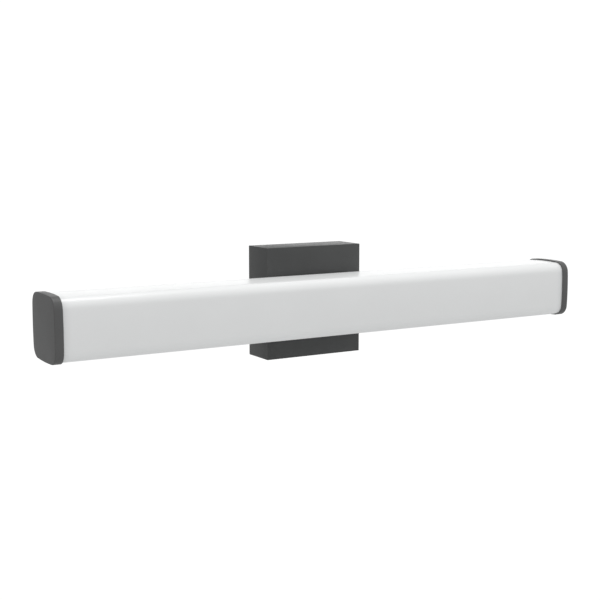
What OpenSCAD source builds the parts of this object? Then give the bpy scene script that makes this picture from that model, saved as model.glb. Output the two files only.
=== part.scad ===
// Wall-mounted LED vanity light bar. Origin: centre of the wall plate's back, on the wall.
// +X runs along the bar, +Y points into the wall and +Z is up. Millimetres.

/* [Bar] */
// Length over both end caps
bar_length = 610; // [450:5:1200]
// Height of an end cap
cap_height = 63; // [60:0.5:90]
// Depth of an end cap, from its wall side to its room side
cap_depth = 63; // [60:0.5:90]
// Corner radius of the end cap's outline
cap_corner_radius = 12; // [9:0.5:16]
// Radius of the slight bow along each side of the outline
cap_bow_radius = 333; // [200:1:900]
// Thickness of an end cap along the bar
cap_length = 8.3; // [7:0.1:20]
// Thickness of an end cap's outer face
cap_face = 2.3; // [1.5:0.1:3.5]
// Chamfer around the outer face, across the face
cap_chamfer = 1; // [0.3:0.1:2]
// Chamfer around the outer face, along the bar
cap_chamfer_length = 0.7; // [0.3:0.1:1.4]
// How far the end caps reach back past the canopy's front
cap_overhang = 2; // [0:0.1:6]

/* [Diffuser] */
// How far the diffuser lies inside the end cap's outline
diffuser_inset = 1.2; // [0.8:0.1:3]
// Wall thickness of the diffuser
diffuser_wall = 2; // [1.2:0.1:3]
// Clearance between the diffuser's tongues and the channel's grooves
tongue_clearance = 0.15; // [0.05:0.05:0.4]

/* [Canopy] */
// Width of the canopy
canopy_width = 114; // [112:1:180]
// Height of the canopy
canopy_height = 117; // [112:1:180]
// Depth of the canopy, from the wall to its front
canopy_depth = 40; // [38:0.5:80]
// Sheet thickness of the canopy
canopy_sheet = 1.2; // [0.8:0.1:2]

/* [Channel and tray] */
// Thickness of the channel's walls
channel_wall = 1.5; // [1.2:0.1:2.5]
// Width of the channel over its two side walls
channel_width = 40; // [38:1:46]
// Depth of the channel from its back to the tray
channel_depth = 19.5; // [16:0.5:30]
// Sheet thickness of the LED tray
tray_sheet = 1.2; // [0.8:0.1:2]
// Depth of the LED tray's side flanges
tray_flange = 7.2; // [6:0.1:12]

/* [LED boards] */
// Width of an LED board
board_width = 12; // [12:1:16]
// Thickness of an LED board
board_thickness = 1.6; // [1:0.1:2]
// Distance from one LED to the next
led_pitch = 12; // [8:0.5:20]

/* [Wall plate] */
// Width of the wall plate
plate_width = 106; // [100:1:110]
// Height of the wall plate
plate_height = 90; // [84:1:104]
// Sheet thickness of the wall plate
plate_sheet = 1.5; // [1:0.1:2.5]
// Distance between the sideways slots for the outlet box's screws
wide_slot_spacing = 88.9; // [80:0.1:92]
// Distance between the upright slots for the outlet box's screws
tall_slot_spacing = 69.85; // [66:0.05:74]
// Length of each slot, end to end
slot_length = 12; // [6:0.5:13]
// Width of each slot
slot_width = 4.6; // [4:0.1:5.5]
// Radius of the plate's opening for the supply cable
cable_opening_radius = 20; // [16:0.5:24]

/* [Fasteners] */
// Shank radius of the two long mounting screws
mounting_screw_radius = 2; // [1.5:0.1:2.4]
// Shank radius of the screws that join the channel to the canopy
channel_screw_radius = 2; // [1.5:0.1:2.4]
// Shank radius of the small screws for the tray, boards and driver
small_screw_radius = 1.45; // [1:0.05:1.8]

/* [Driver] */
// Length of the driver's case
driver_length = 84; // [70:1:88]
// Height of the driver's case
driver_height = 30; // [24:1:32]
// Depth of the driver's case with its lid
driver_depth = 26; // [22:0.5:28]
// Wall thickness of the driver's case
driver_wall = 1.8; // [1.2:0.1:2.4]

/* [Hidden] */
$fn = 48;

graphite = "#4b4c4e";
opal = "#f4f5f5";
white_paint = "#eceded";
zinc = "#b9bcc0";
nylon = "#e6e3da";
green_wire = "#2f8a46";
black_wire = "#1d1d1f";
red_wire = "#b3261e";
white_wire = "#efefec";
copper = "#b87333";
board_green = "#2c6b45";
yellow_tape = "#d8b13a";
dark_sleeve = "#30323a";
phosphor = "#e8cf5a";
orange_nylon = "#d9792b";

// Gaps between pieces: a threaded or running fit, a sliding fit and a clearance hole
running_gap = 0.05;
slip_gap = 0.1;
clearance_gap = 0.3;
// How far a cut runs past the face that it opens: just past it, or well clear of it
eps = 0.01;
overrun = 1;

// The bar's centre line, and depths along Y counted from it as the bar's section sees them
canopy_front = -canopy_depth;
rear_setback = cap_depth / 2 - cap_overhang;
bar_y = canopy_front - rear_setback;
cap_half = [cap_depth / 2, cap_height / 2];
arc_steps = 8;
bow_steps = 3;

// The channel's section: a back plate, two walls and two outward lips that form the grooves
channel_back = rear_setback;
channel_back_front = channel_back - channel_wall;
groove_front = channel_back_front - diffuser_wall - 2 * tongue_clearance;
lip_front = groove_front - channel_wall;
channel_front = channel_back - channel_depth;
channel_half = channel_width / 2;
channel_lip = 3.5;
channel_flange = channel_half + channel_lip;
tongue_rear = channel_back_front - tongue_clearance;
tongue_front = tongue_rear - diffuser_wall;
tongue_edge = channel_half + 2 * tongue_clearance + slip_gap;

// Lengths along the bar, from the outer ends inwards
end_gap = 0.2;
pocket_floor = bar_length / 2 - cap_face;
cap_inner = bar_length / 2 - cap_length;
diffuser_end = pocket_floor - end_gap;
boss_height = 2;
boss_wall = 1.6;
boss_end = pocket_floor - boss_height;
channel_end = boss_end - end_gap;
boss_gap = 0.2;
leg_length = 16;
leg_thickness = 1.5;
leg_inset = 3;

// Tray and boards, front of the channel
tray_front = channel_front - tray_sheet;
tray_flange_inner = channel_half + slip_gap;
tray_flange_outer = tray_flange_inner + tray_sheet;
tray_screw_inset = 40;
tray_screw_setback = 3;
tray_screw_x = bar_length / 2 - tray_screw_inset;
tray_screw_depth = channel_front + tray_screw_setback;
tray_screw_beyond = 0.8;
tray_hole_radius = 6;
board_front = tray_front - board_thickness;
board_start = 12;
board_end_gap = 10;
board_margin = 4;
board_end = channel_end - board_end_gap;
connector_start = board_start + board_margin;
connector_size = [8, 4.6, 5];
connector_offset = 3;
led_size = [3.5, 0.8, 2.8];
led_to_connector = 8;
led_start = connector_start + connector_size[0] + led_to_connector;
led_count = floor((board_end - board_margin - led_start) / led_pitch) + 1;
board_screw_beyond = 2;
board_screw_count = 4;
board_screw_step = floor((led_count - 2) / (board_screw_count - 1));

// Screws and the bushing between channel and canopy
channel_screw_points = [for (x = [-25, 25]) for (z = [-12, 12]) [x, z]];
mounting_screw_points = [[-44, 12], [44, -12]];
mounting_access_radius = 4.5;
screw_head_height = 2.4;
low_head_height = 1.6;
thread_beyond_nut = 1;
wall_to_screw_tip = 1;
nut_height = 3.2;
nut_radius = 4;
bushing_radius = 7;
bushing_bore = 5;
bushing_flange = 1.2;
bushing_rim = 2;
bushing_snap = 0.8;
bushing_snap_depth = 1;
channel_front_y = bar_y + channel_front;
channel_back_front_y = bar_y + channel_back_front;
canopy_inner_y = canopy_front + canopy_sheet;

// Wall plate
plate_corner = 6;
collar_radius = 3.6;
collar_height = 4;
plate_tab_x = 24;
plate_tab_z = 30;
plate_tab_width = 12;
plate_tab_depth = 12;
plate_tab_hole = 6.5;
ground_screw_y = -plate_sheet - plate_tab_hole;
ground_screw_length = 5;

// Driver and its place in the lower half of the canopy
standoff_height = 2.8;
standoff_radius = 3;
standoff_floor = 0.4;
driver_screw_tip_gap = 0.2;
driver_head_height = 1.8;
driver_floor_gap = 5.3;
driver_z = -canopy_height / 2 + canopy_sheet + driver_floor_gap + driver_height / 2;
driver_front = canopy_inner_y + standoff_height;
driver_back = driver_front + driver_depth;
driver_ear = 8;
driver_ear_sheet = 2;
driver_screw_x = driver_length / 2 + driver_ear / 2;
lid_skirt_depth = 2;
lid_skirt_wall = 1.2;
pcb_lift = 6;
pcb_sheet = 1.6;
pcb_front = driver_front + pcb_lift;
pcb_back = pcb_front + pcb_sheet;
transformer_half = 8;
transformer_depth = 10;
core_half = [10, 4];
core_inset = 1.5;
part_row = 6;
capacitor_x = [-22, 20];
capacitor_radius = 4;
capacitor_depth = 11;
choke_x = -22;
choke_radius = 5;
choke_bore = 2;
choke_depth = 5;
lead_hole_radius = 1.6;
lead_exit_depth = 14;
lead_exit_y = driver_front + lead_exit_depth;
supply_exit_offset = 4;
led_exit_offset = 2;

// Earth stud and the twist-on connectors in the upper half
stud_x = 34;
stud_z = 40;
stud_radius = 2;
stud_length = 7;
terminal_sheet = 0.8;
terminal_radius = 4;
terminal_neck = [stud_x - 6, stud_x - 3];
terminal_neck_half = 1.5;
terminal_barrel = 1.6;
terminal_barrel_x = [stud_x - 10, stud_x - 5];
twist_length = 20;
twist_radius = 5.5;
twist_skirt = 4;
twist_taper = 1.5;
twist_bore = 3;
twist_tip = 5;
twist_cone = 2;
twist_x = -34;
twist_y = -16;
twist_z = [22, 35, 48];

// Leads: radii, and routes with points in order from the driver or stud to the far end
supply_lead_radius = 1.1;
led_lead_radius = 0.8;
lead_sides = 8;
driver_end = driver_length / 2;
connector_y = bar_y + board_front - connector_size[1] / 2;
bushing_y = canopy_front;

supply_black_route = [
    [-driver_end + 5, lead_exit_y, driver_z + supply_exit_offset],
    [-driver_end - 1, lead_exit_y, driver_z + supply_exit_offset],
    [-48, lead_exit_y + 1, driver_z + 6], [-51, -21, -25], [-52, -20, -17], [-52, -19, -6],
    [-52, -18, 5], [-50.5, -16.8, 14], [-46.5, -16, 20], [-41, twist_y, twist_z[0]],
    [twist_x, twist_y, twist_z[0]], [twist_x + 6, twist_y, twist_z[0]]
];
supply_white_route = [
    [-driver_end + 5, lead_exit_y, driver_z - supply_exit_offset],
    [-driver_end - 1, lead_exit_y, driver_z - supply_exit_offset],
    [-48.5, lead_exit_y - 1, driver_z - 3], [-52.5, -25, -34], [-53.3, -26, -24], [-53.3, -26, -10],
    [-53.3, -26, 4], [-53, -25, 16], [-50.5, -21, 27], [-46, -17.5, 33],
    [-40, twist_y, twist_z[1]], [twist_x + 6, twist_y, twist_z[1]]
];
ground_route = [
    [stud_x - 10, canopy_inner_y + terminal_barrel, stud_z],
    [stud_x - 12, canopy_inner_y + terminal_barrel, stud_z],
    [stud_x - 16.5, canopy_inner_y + terminal_barrel + 1, stud_z + 2],
    [12, -33, 45.5], [6, -27, 47.5], [0, -21, twist_z[2]], [-6, -17, twist_z[2]],
    [-12, twist_y, twist_z[2]], [twist_x + twist_length - 6, twist_y, twist_z[2]]
];
led_red_route = [
    [driver_end - 5, lead_exit_y, driver_z + led_exit_offset],
    [driver_end + 1, lead_exit_y, driver_z + led_exit_offset],
    [47.5, -22.5, -33], [51, -24, -28], [51.8, -26, -20], [51, -28, -11], [48, -30, -4],
    [41, -31.5, 0.5], [28, -33, 1.5], [14, -34, 1.5], [6, -35.2, 1.5], [1.5, -37.5, 1.5],
    [0, bushing_y - 1, 1.5], [0, bushing_y - 8, 1.5], [0, channel_front_y + 3, 2],
    [-0.8, channel_front_y - 2, 2.6], [-4, connector_y + 1, 3.4],
    [-9, connector_y, 4], [-connector_start, connector_y, 4]
];
led_black_route = [
    [driver_end - 5, lead_exit_y, driver_z - led_exit_offset],
    [driver_end + 1, lead_exit_y, driver_z - led_exit_offset],
    [48, -22, -38], [52.5, -23.5, -34], [54, -26, -25], [53.5, -28.5, -15], [51, -31, -7],
    [44, -33, -2.5], [30, -35, -1.5], [14, -35.8, -1.5], [7, -36.1, -1.5], [2.8, -37.6, -1.5],
    [0.6, bushing_y - 1.5, -1.5], [0, bushing_y - 8, -1.5], [0, channel_front_y + 4, -1],
    [0, channel_front_y - 1.2, -0.2], [-3, connector_y - 0.2, 1],
    [-9, connector_y, 2], [-connector_start, connector_y, 2]
];
link_red_route = [
    [-connector_start, connector_y, -2], [-13.5, connector_y, -2], [-7, connector_y - 0.9, -2],
    [0, connector_y - 1.4, -2], [7, connector_y - 0.9, -2], [13.5, connector_y, -2],
    [connector_start, connector_y, -2]
];
link_black_route = [for (p = link_red_route) p + [0, 0, -2]];

// Outline of the bar at a given inset: corner arcs that run smoothly into slightly bowed sides.
// The first quarter is worked out and the other three mirror it.
function corner_centre(half, radius, bow) =
    let (
        side = [half[0] - bow, half[1] - bow],
        reach = norm(side) / 2,
        lift = sqrt(pow(bow - radius, 2) - pow(reach, 2))
    )
    [side[0] / 2 - lift * side[1] / (2 * reach), side[1] / 2 - lift * side[0] / (2 * reach)];

function arc(centre, radius, from, to, steps) =
    [for (i = [0 : steps]) let (angle = from + (to - from) * i / steps)
        centre + radius * [cos(angle), sin(angle)]];

function quarter(inset) =
    let (
        half = cap_half - [inset, inset],
        radius = cap_corner_radius - inset,
        bow = cap_bow_radius - inset,
        side = [half[0] - bow, half[1] - bow],
        corner = corner_centre(half, radius, bow),
        first = atan2(corner[1], corner[0] - side[0]),
        last = atan2(corner[1] - side[1], corner[0]),
        depth_side = arc([side[0], 0], bow, 0, first, bow_steps),
        corner_arc = arc(corner, radius, first, last, arc_steps),
        height_side = arc([0, side[1]], bow, last, 90, bow_steps)
    )
    concat(
        [for (i = [0 : bow_steps - 1]) depth_side[i]],
        corner_arc,
        [for (i = [1 : bow_steps]) height_side[i]]
    );

function mirrored(points, sx, sy, reversed) =
    let (last = len(points) - 1)
    [for (i = [0 : last - 1]) let (p = points[reversed ? last - i : i]) [p[0] * sx, p[1] * sy]];

function outline(inset) =
    let (points = quarter(inset))
    concat(
        mirrored(points, 1, 1, false), mirrored(points, -1, 1, true),
        mirrored(points, -1, -1, false), mirrored(points, 1, -1, true)
    );

// A box between two values on each axis
module block(x, y, z) {
    translate([x[0], y[0], z[0]])
        cube([x[1] - x[0], y[1] - y[0], z[1] - z[0]]);
}

// A rod along +Y between two depths
module rod_y(radius, y, x, z) {
    translate([x, y[0], z])
        rotate([-90, 0, 0])
            cylinder(r = radius, h = y[1] - y[0]);
}

// A rod along +X between two places
module rod_x(radius, x, y, z) {
    translate([x[0], y, z])
        rotate([0, 90, 0])
            cylinder(r = radius, h = x[1] - x[0]);
}

// A section drawn in depth and height, made solid along the bar
module along_bar(from, to) {
    translate([from, bar_y, 0])
        rotate([90, 0, 90])
            linear_extrude(height = to - from)
                children();
}

// A pan-head screw along +Z: its head ends at 0 and its shank starts there
module pan_screw(radius, length, head_height = screw_head_height) {
    head_radius = radius * 1.9;
    recess = radius * 2.2;
    slit = radius * 0.4;
    difference() {
        union() {
            cylinder(r = radius, h = length);
            translate([0, 0, -head_height])
                cylinder(r = head_radius, h = head_height);
        }
        for (turn = [0, 90])
            rotate([0, 0, turn])
                translate([-recess / 2, -slit / 2, -head_height - eps])
                    cube([recess, slit, head_height / 2]);
    }
}

module screw_y(radius, length, x, y, z, head_height = screw_head_height) {
    translate([x, y, z])
        rotate([-90, 0, 0])
            pan_screw(radius, length, head_height);
}

module hex_nut(x, y, z, bore) {
    difference() {
        translate([x, y, z])
            rotate([-90, 0, 0])
                cylinder(r = nut_radius, h = nut_height, $fn = 6);
        rod_y(bore, [y - eps, y + nut_height + eps], x, z);
    }
}

// Tube swept along a route, one ring at each point, each ring carried on from the one before
function unit(v) = v / norm(v);
function tangent(route, i) =
    i == 0 ? unit(route[1] - route[0])
    : i == len(route) - 1 ? unit(route[i] - route[i - 1])
    : unit(unit(route[i + 1] - route[i]) + unit(route[i] - route[i - 1]));
function across(route, i) =
    let (t = tangent(route, i), seed = i == 0 ? cross(t, [0.3, 0.5, 0.8]) : across(route, i - 1))
    unit(seed - (seed * t) * t);

module lead(route, radius, sheath) {
    rings = len(route);
    points = [for (i = [0 : rings - 1])
        let (u = across(route, i), v = cross(tangent(route, i), u))
            for (k = [0 : lead_sides - 1])
                let (angle = 360 * k / lead_sides)
                    route[i] + radius * (cos(angle) * u + sin(angle) * v)];
    start_face = [for (k = [0 : lead_sides - 1]) k];
    end_face = [for (k = [lead_sides - 1 : -1 : 0]) (rings - 1) * lead_sides + k];
    walls = [for (i = [0 : rings - 2]) for (k = [0 : lead_sides - 1])
        let (a = i * lead_sides + k, b = i * lead_sides + (k + 1) % lead_sides)
            [a, a + lead_sides, b + lead_sides, b]];
    color(sheath)
        polyhedron(points = points, faces = concat([start_face], walls, [end_face]));
}

// Stamped steel plate that the outlet box's screws hold to the wall
module wall_plate() {
    w = plate_width / 2;
    h = plate_height / 2;
    c = plate_corner;
    color(zinc)
        difference() {
            union() {
                rotate([90, 0, 0])
                    linear_extrude(height = plate_sheet)
                        polygon([
                            [-w + c, -h], [w - c, -h], [w, -h + c], [w, h - c],
                            [w - c, h], [-w + c, h], [-w, h - c], [-w, -h + c]
                        ]);
                for (p = mounting_screw_points)
                    rod_y(collar_radius, [-plate_sheet - collar_height, 0], p[0], p[1]);
                block(
                    [plate_tab_x - plate_tab_width / 2, plate_tab_x + plate_tab_width / 2],
                    [-plate_sheet - plate_tab_depth, 0],
                    [plate_tab_z, plate_tab_z + plate_sheet]
                );
            }
            rod_y(cable_opening_radius, [-plate_sheet - eps, eps], 0, 0);
            for (side = [-1, 1]) {
                slot(side * wide_slot_spacing / 2, 0, [1, 0]);
                slot(0, side * tall_slot_spacing / 2, [0, 1]);
            }
            for (p = mounting_screw_points)
                rod_y(
                    mounting_screw_radius + running_gap,
                    [-plate_sheet - collar_height - eps, eps], p[0], p[1]
                );
            translate([plate_tab_x, ground_screw_y, plate_tab_z - eps])
                cylinder(r = small_screw_radius + running_gap, h = plate_sheet + 2 * eps);
        }
}

// One slot through the wall plate, centred on its nominal place
module slot(x, z, direction) {
    reach = (slot_length - slot_width) / 2;
    half_x = direction[0] > 0 ? reach : slot_width / 2;
    half_z = direction[1] > 0 ? reach : slot_width / 2;
    for (side = [-1, 1])
        rod_y(
            slot_width / 2, [-plate_sheet - eps, eps],
            x + side * reach * direction[0], z + side * reach * direction[1]
        );
    block([x - half_x, x + half_x], [-plate_sheet - eps, eps], [z - half_z, z + half_z]);
}

module ground_screw() {
    color(green_wire)
        translate([plate_tab_x, ground_screw_y, plate_tab_z + plate_sheet])
            rotate([180, 0, 0])
                pan_screw(small_screw_radius, ground_screw_length);
}

// Folded and welded steel box, open towards the wall
module canopy() {
    w = canopy_width / 2;
    h = canopy_height / 2;
    through = [canopy_front - eps, canopy_inner_y + eps];
    color(graphite)
        difference() {
            block([-w, w], [canopy_front, 0], [-h, h]);
            block(
                [-w + canopy_sheet, w - canopy_sheet], [canopy_inner_y, overrun],
                [-h + canopy_sheet, h - canopy_sheet]
            );
            rod_y(bushing_radius, through, 0, 0);
            for (p = channel_screw_points)
                rod_y(channel_screw_radius + clearance_gap, through, p[0], p[1]);
            for (p = mounting_screw_points)
                rod_y(mounting_screw_radius + clearance_gap, through, p[0], p[1]);
        }
}

module driver_standoffs() {
    color(zinc)
        for (side = [-1, 1])
            difference() {
                rod_y(
                    standoff_radius, [canopy_inner_y, driver_front],
                    side * driver_screw_x, driver_z
                );
                rod_y(
                    small_screw_radius + running_gap,
                    [canopy_inner_y + standoff_floor, driver_front + eps],
                    side * driver_screw_x, driver_z
                );
            }
}

module ground_stud() {
    color(copper)
        rod_y(stud_radius, [canopy_inner_y, canopy_inner_y + stud_length], stud_x, stud_z);
}

// Ring terminal crimped on the earth lead
module ground_terminal() {
    color(zinc)
        difference() {
            union() {
                rod_y(
                    terminal_radius, [canopy_inner_y, canopy_inner_y + terminal_sheet],
                    stud_x, stud_z
                );
                block(
                    terminal_neck, [canopy_inner_y, canopy_inner_y + terminal_sheet],
                    [stud_z - terminal_neck_half, stud_z + terminal_neck_half]
                );
                rod_x(
                    terminal_barrel, terminal_barrel_x, canopy_inner_y + terminal_barrel, stud_z
                );
            }
            rod_y(
                stud_radius + running_gap,
                [canopy_inner_y - eps, canopy_inner_y + terminal_sheet + eps], stud_x, stud_z
            );
        }
}

module ground_nut() {
    color(zinc)
        hex_nut(stud_x, canopy_inner_y + terminal_sheet, stud_z, stud_radius + running_gap);
}

// Moulded case of the LED driver, open at the back, with a screw ear at each end
module driver_case() {
    l = driver_length / 2;
    bottom = driver_z - driver_height / 2;
    top = driver_z + driver_height / 2;
    rim = driver_back - driver_wall;
    color(nylon)
        difference() {
            union() {
                block([-l, l], [driver_front, rim], [bottom, top]);
                block(
                    [-l - driver_ear, l + driver_ear],
                    [driver_front, driver_front + driver_ear_sheet],
                    [driver_z - driver_ear / 2, driver_z + driver_ear / 2]
                );
            }
            block(
                [-l + driver_wall, l - driver_wall], [driver_front + driver_wall, rim + eps],
                [bottom + driver_wall, top - driver_wall]
            );
            for (side = [-1, 1])
                rod_y(
                    small_screw_radius + clearance_gap,
                    [driver_front - eps, driver_front + driver_ear_sheet + eps],
                    side * driver_screw_x, driver_z
                );
            for (side = [-1, 1]) {
                rod_x(
                    lead_hole_radius, [-l - eps, -l + driver_wall + eps],
                    lead_exit_y, driver_z + side * supply_exit_offset
                );
                rod_x(
                    lead_hole_radius, [l - driver_wall - eps, l + eps],
                    lead_exit_y, driver_z + side * led_exit_offset
                );
            }
        }
}

module driver_lid() {
    l = driver_length / 2;
    h = driver_height / 2;
    rim = driver_back - driver_wall;
    skirt = driver_wall + slip_gap;
    hollow = skirt + lid_skirt_wall;
    color(nylon)
        union() {
            block([-l, l], [rim, driver_back], [driver_z - h, driver_z + h]);
            difference() {
                block(
                    [-l + skirt, l - skirt], [rim - lid_skirt_depth, rim],
                    [driver_z - h + skirt, driver_z + h - skirt]
                );
                block(
                    [-l + hollow, l - hollow], [rim - lid_skirt_depth - eps, rim + eps],
                    [driver_z - h + hollow, driver_z + h - hollow]
                );
            }
        }
}

module driver_circuit_board() {
    l = driver_length / 2 - driver_wall - clearance_gap;
    h = driver_height / 2 - driver_wall - clearance_gap;
    color(board_green)
        block([-l, l], [pcb_front, pcb_back], [driver_z - h, driver_z + h]);
}

// Taped windings with the ferrite core's legs showing at both sides
module driver_transformer() {
    back = pcb_back + transformer_depth;
    color(yellow_tape)
        union() {
            block(
                [-transformer_half, transformer_half], [pcb_back, back],
                [driver_z - transformer_half, driver_z + transformer_half]
            );
            block(
                [-core_half[0], core_half[0]], [pcb_back + core_inset, back - core_inset],
                [driver_z - core_half[1], driver_z + core_half[1]]
            );
        }
}

module driver_capacitors() {
    color(dark_sleeve)
        for (x = capacitor_x)
            rod_y(
                capacitor_radius, [pcb_back, pcb_back + capacitor_depth], x, driver_z + part_row
            );
}

module driver_choke() {
    back = pcb_back + choke_depth;
    z = driver_z - part_row;
    color(copper)
        difference() {
            rod_y(choke_radius, [pcb_back, back], choke_x, z);
            rod_y(choke_bore, [pcb_back - eps, back + eps], choke_x, z);
        }
}

module driver_screws() {
    reach = standoff_height - standoff_floor - driver_screw_tip_gap;
    color(zinc)
        for (side = [-1, 1])
            translate([side * driver_screw_x, driver_front + driver_ear_sheet, driver_z])
                rotate([90, 0, 0])
                    pan_screw(small_screw_radius, driver_ear_sheet + reach, driver_head_height);
}

// Snap bushing that keeps the leads off the sheet edges
module wire_bushing() {
    front = channel_back_front_y;
    back = canopy_inner_y + bushing_snap_depth;
    color(nylon)
        difference() {
            union() {
                rod_y(bushing_radius + bushing_rim, [front - bushing_flange, front], 0, 0);
                rod_y(bushing_radius - slip_gap, [front - eps, canopy_inner_y + eps], 0, 0);
                rod_y(bushing_radius + bushing_snap, [canopy_inner_y, back], 0, 0);
            }
            rod_y(bushing_bore, [front - bushing_flange - eps, back + eps], 0, 0);
        }
}

module channel_screws() {
    grip = canopy_inner_y - channel_back_front_y;
    color(zinc)
        for (p = channel_screw_points)
            screw_y(
                channel_screw_radius, grip + nut_height + thread_beyond_nut,
                p[0], channel_back_front_y, p[1]
            );
}

module channel_nuts() {
    color(zinc)
        for (p = channel_screw_points)
            hex_nut(p[0], canopy_inner_y, p[1], channel_screw_radius + running_gap);
}

module mounting_screws() {
    color(zinc)
        for (p = mounting_screw_points)
            screw_y(
                mounting_screw_radius, -wall_to_screw_tip - channel_back_front_y,
                p[0], channel_back_front_y, p[1]
            );
}

// Back plate, two walls and the outward lips that hold the diffuser's tongues
module channel_section() {
    translate([channel_back_front, -channel_flange])
        square([channel_wall, 2 * channel_flange]);
    for (side = [-1, 1]) {
        translate([channel_front, side > 0 ? channel_half - channel_wall : -channel_half])
            square([channel_depth - eps, channel_wall]);
        translate([lip_front, side > 0 ? channel_half - eps : -channel_flange])
            square([channel_wall, channel_flange - channel_half + eps]);
    }
}

// Extruded aluminium channel, trimmed to the bar's outline at its back edges
module back_channel() {
    through = [channel_back_front_y - eps, canopy_front + eps];
    color(white_paint)
        difference() {
            along_bar(-channel_end, channel_end)
                intersection() {
                    polygon(outline(diffuser_inset));
                    channel_section();
                }
            rod_y(bushing_radius, through, 0, 0);
            for (p = channel_screw_points)
                rod_y(channel_screw_radius + clearance_gap, through, p[0], p[1]);
            for (p = mounting_screw_points)
                rod_y(mounting_screw_radius + clearance_gap, through, p[0], p[1]);
            for (x = [-tray_screw_x, tray_screw_x])
                translate([x, bar_y + tray_screw_depth, -channel_half - overrun])
                    cylinder(
                        r = small_screw_radius + running_gap, h = channel_width + 2 * overrun
                    );
        }
}

// Folded white tray that carries the LED boards in front of the channel
module led_tray() {
    front = bar_y + tray_front;
    back = channel_front_y;
    through = [front - eps, back + eps];
    color(white_paint)
        difference() {
            along_bar(-channel_end, channel_end)
                union() {
                    translate([tray_front, -tray_flange_outer])
                        square([tray_sheet, 2 * tray_flange_outer]);
                    for (side = [-1, 1])
                        translate([
                            tray_front,
                            side > 0 ? tray_flange_inner : -tray_flange_outer
                        ])
                            square([tray_flange, tray_sheet]);
                }
            rod_y(tray_hole_radius, through, 0, 0);
            for (p = mounting_screw_points)
                rod_y(mounting_access_radius, through, p[0], p[1]);
            for (side = [-1, 1])
                for (i = [0 : board_screw_count - 1])
                    rod_y(small_screw_radius + running_gap, through, side * board_screw_x(i), 0);
            for (x = [-tray_screw_x, tray_screw_x])
                translate([x, bar_y + tray_screw_depth, -tray_flange_outer - overrun])
                    cylinder(
                        r = small_screw_radius + clearance_gap,
                        h = 2 * (tray_flange_outer + overrun)
                    );
        }
}

module tray_screws() {
    length = tray_sheet + slip_gap + channel_wall + tray_screw_beyond;
    color(zinc)
        for (x = [-tray_screw_x, tray_screw_x])
            for (side = [-1, 1])
                translate([x, bar_y + tray_screw_depth, side * tray_flange_outer])
                    rotate([side > 0 ? 180 : 0, 0, 0])
                        pan_screw(small_screw_radius, length, low_head_height);
}

// Screws sit midway between two LEDs
function board_screw_x(i) = led_start + led_pitch * (0.5 + i * board_screw_step);

module led_board(side) {
    front = bar_y + board_front;
    back = bar_y + tray_front;
    color(white_paint)
        difference() {
            block(
                side > 0 ? [board_start, board_end] : [-board_end, -board_start],
                [front, back], [-board_width / 2, board_width / 2]
            );
            for (i = [0 : board_screw_count - 1])
                rod_y(
                    small_screw_radius + clearance_gap, [front - eps, back + eps],
                    side * board_screw_x(i), 0
                );
        }
}

module leds(side) {
    color(phosphor)
        for (i = [0 : led_count - 1])
            translate([
                side * (led_start + i * led_pitch) - led_size[0] / 2,
                bar_y + board_front - led_size[1],
                -led_size[2] / 2
            ])
                cube(led_size);
}

module board_screws() {
    color(zinc)
        for (side = [-1, 1])
            for (i = [0 : board_screw_count - 1])
                screw_y(
                    small_screw_radius, board_thickness + tray_sheet + board_screw_beyond,
                    side * board_screw_x(i), bar_y + board_front, 0, low_head_height
                );
}

// Plug-in connectors: feed and link on the left board, link on the right
module board_connectors() {
    places = [
        [-connector_start - connector_size[0], connector_offset],
        [-connector_start - connector_size[0], -connector_offset],
        [connector_start, -connector_offset]
    ];
    color(nylon)
        for (p = places)
            translate([
                p[0],
                bar_y + board_front - connector_size[1],
                p[1] - connector_size[2] / 2
            ])
                cube(connector_size);
}

module supply_lead_black() {
    lead(supply_black_route, supply_lead_radius, black_wire);
}

module supply_lead_white() {
    lead(supply_white_route, supply_lead_radius, white_wire);
}

module ground_lead_green() {
    lead(ground_route, supply_lead_radius, green_wire);
}

// Twist-on connectors for the house wires; the earth's one opens to the other side
module wire_connectors() {
    color(orange_nylon)
        for (i = [0 : 2])
            translate([i < 2 ? twist_x : twist_x + twist_length, twist_y, twist_z[i]])
                rotate([0, i < 2 ? 90 : -90, 0])
                    rotate_extrude()
                        polygon([
                            [twist_bore, 0], [twist_radius, 0], [twist_radius, twist_skirt],
                            [twist_radius - twist_taper, twist_length], [0, twist_length],
                            [0, twist_length - twist_tip],
                            [twist_bore, twist_length - twist_tip - twist_cone]
                        ]);
}

// Leads from the driver to the left board, and links across to the right board
module led_lead_red() {
    lead(led_red_route, led_lead_radius, red_wire);
}

module led_lead_black() {
    lead(led_black_route, led_lead_radius, black_wire);
}

module link_lead_red() {
    lead(link_red_route, led_lead_radius, red_wire);
}

module link_lead_black() {
    lead(link_black_route, led_lead_radius, black_wire);
}

// Extruded opal acrylic, open at the back, with a tongue for each of the channel's grooves
module diffuser() {
    color(opal)
        along_bar(-diffuser_end, diffuser_end)
            difference() {
                union() {
                    difference() {
                        polygon(outline(diffuser_inset));
                        polygon(outline(diffuser_inset + diffuser_wall));
                    }
                    intersection() {
                        polygon(outline(diffuser_inset));
                        for (side = [-1, 1])
                            translate([tongue_front, side > 0 ? tongue_edge : -cap_height])
                                square([diffuser_wall, cap_height - tongue_edge]);
                    }
                }
                translate([tongue_rear, -cap_height])
                    square([cap_depth, 2 * cap_height]);
                translate([tongue_front, -tongue_edge])
                    square([cap_depth, 2 * tongue_edge]);
            }
}

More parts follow.
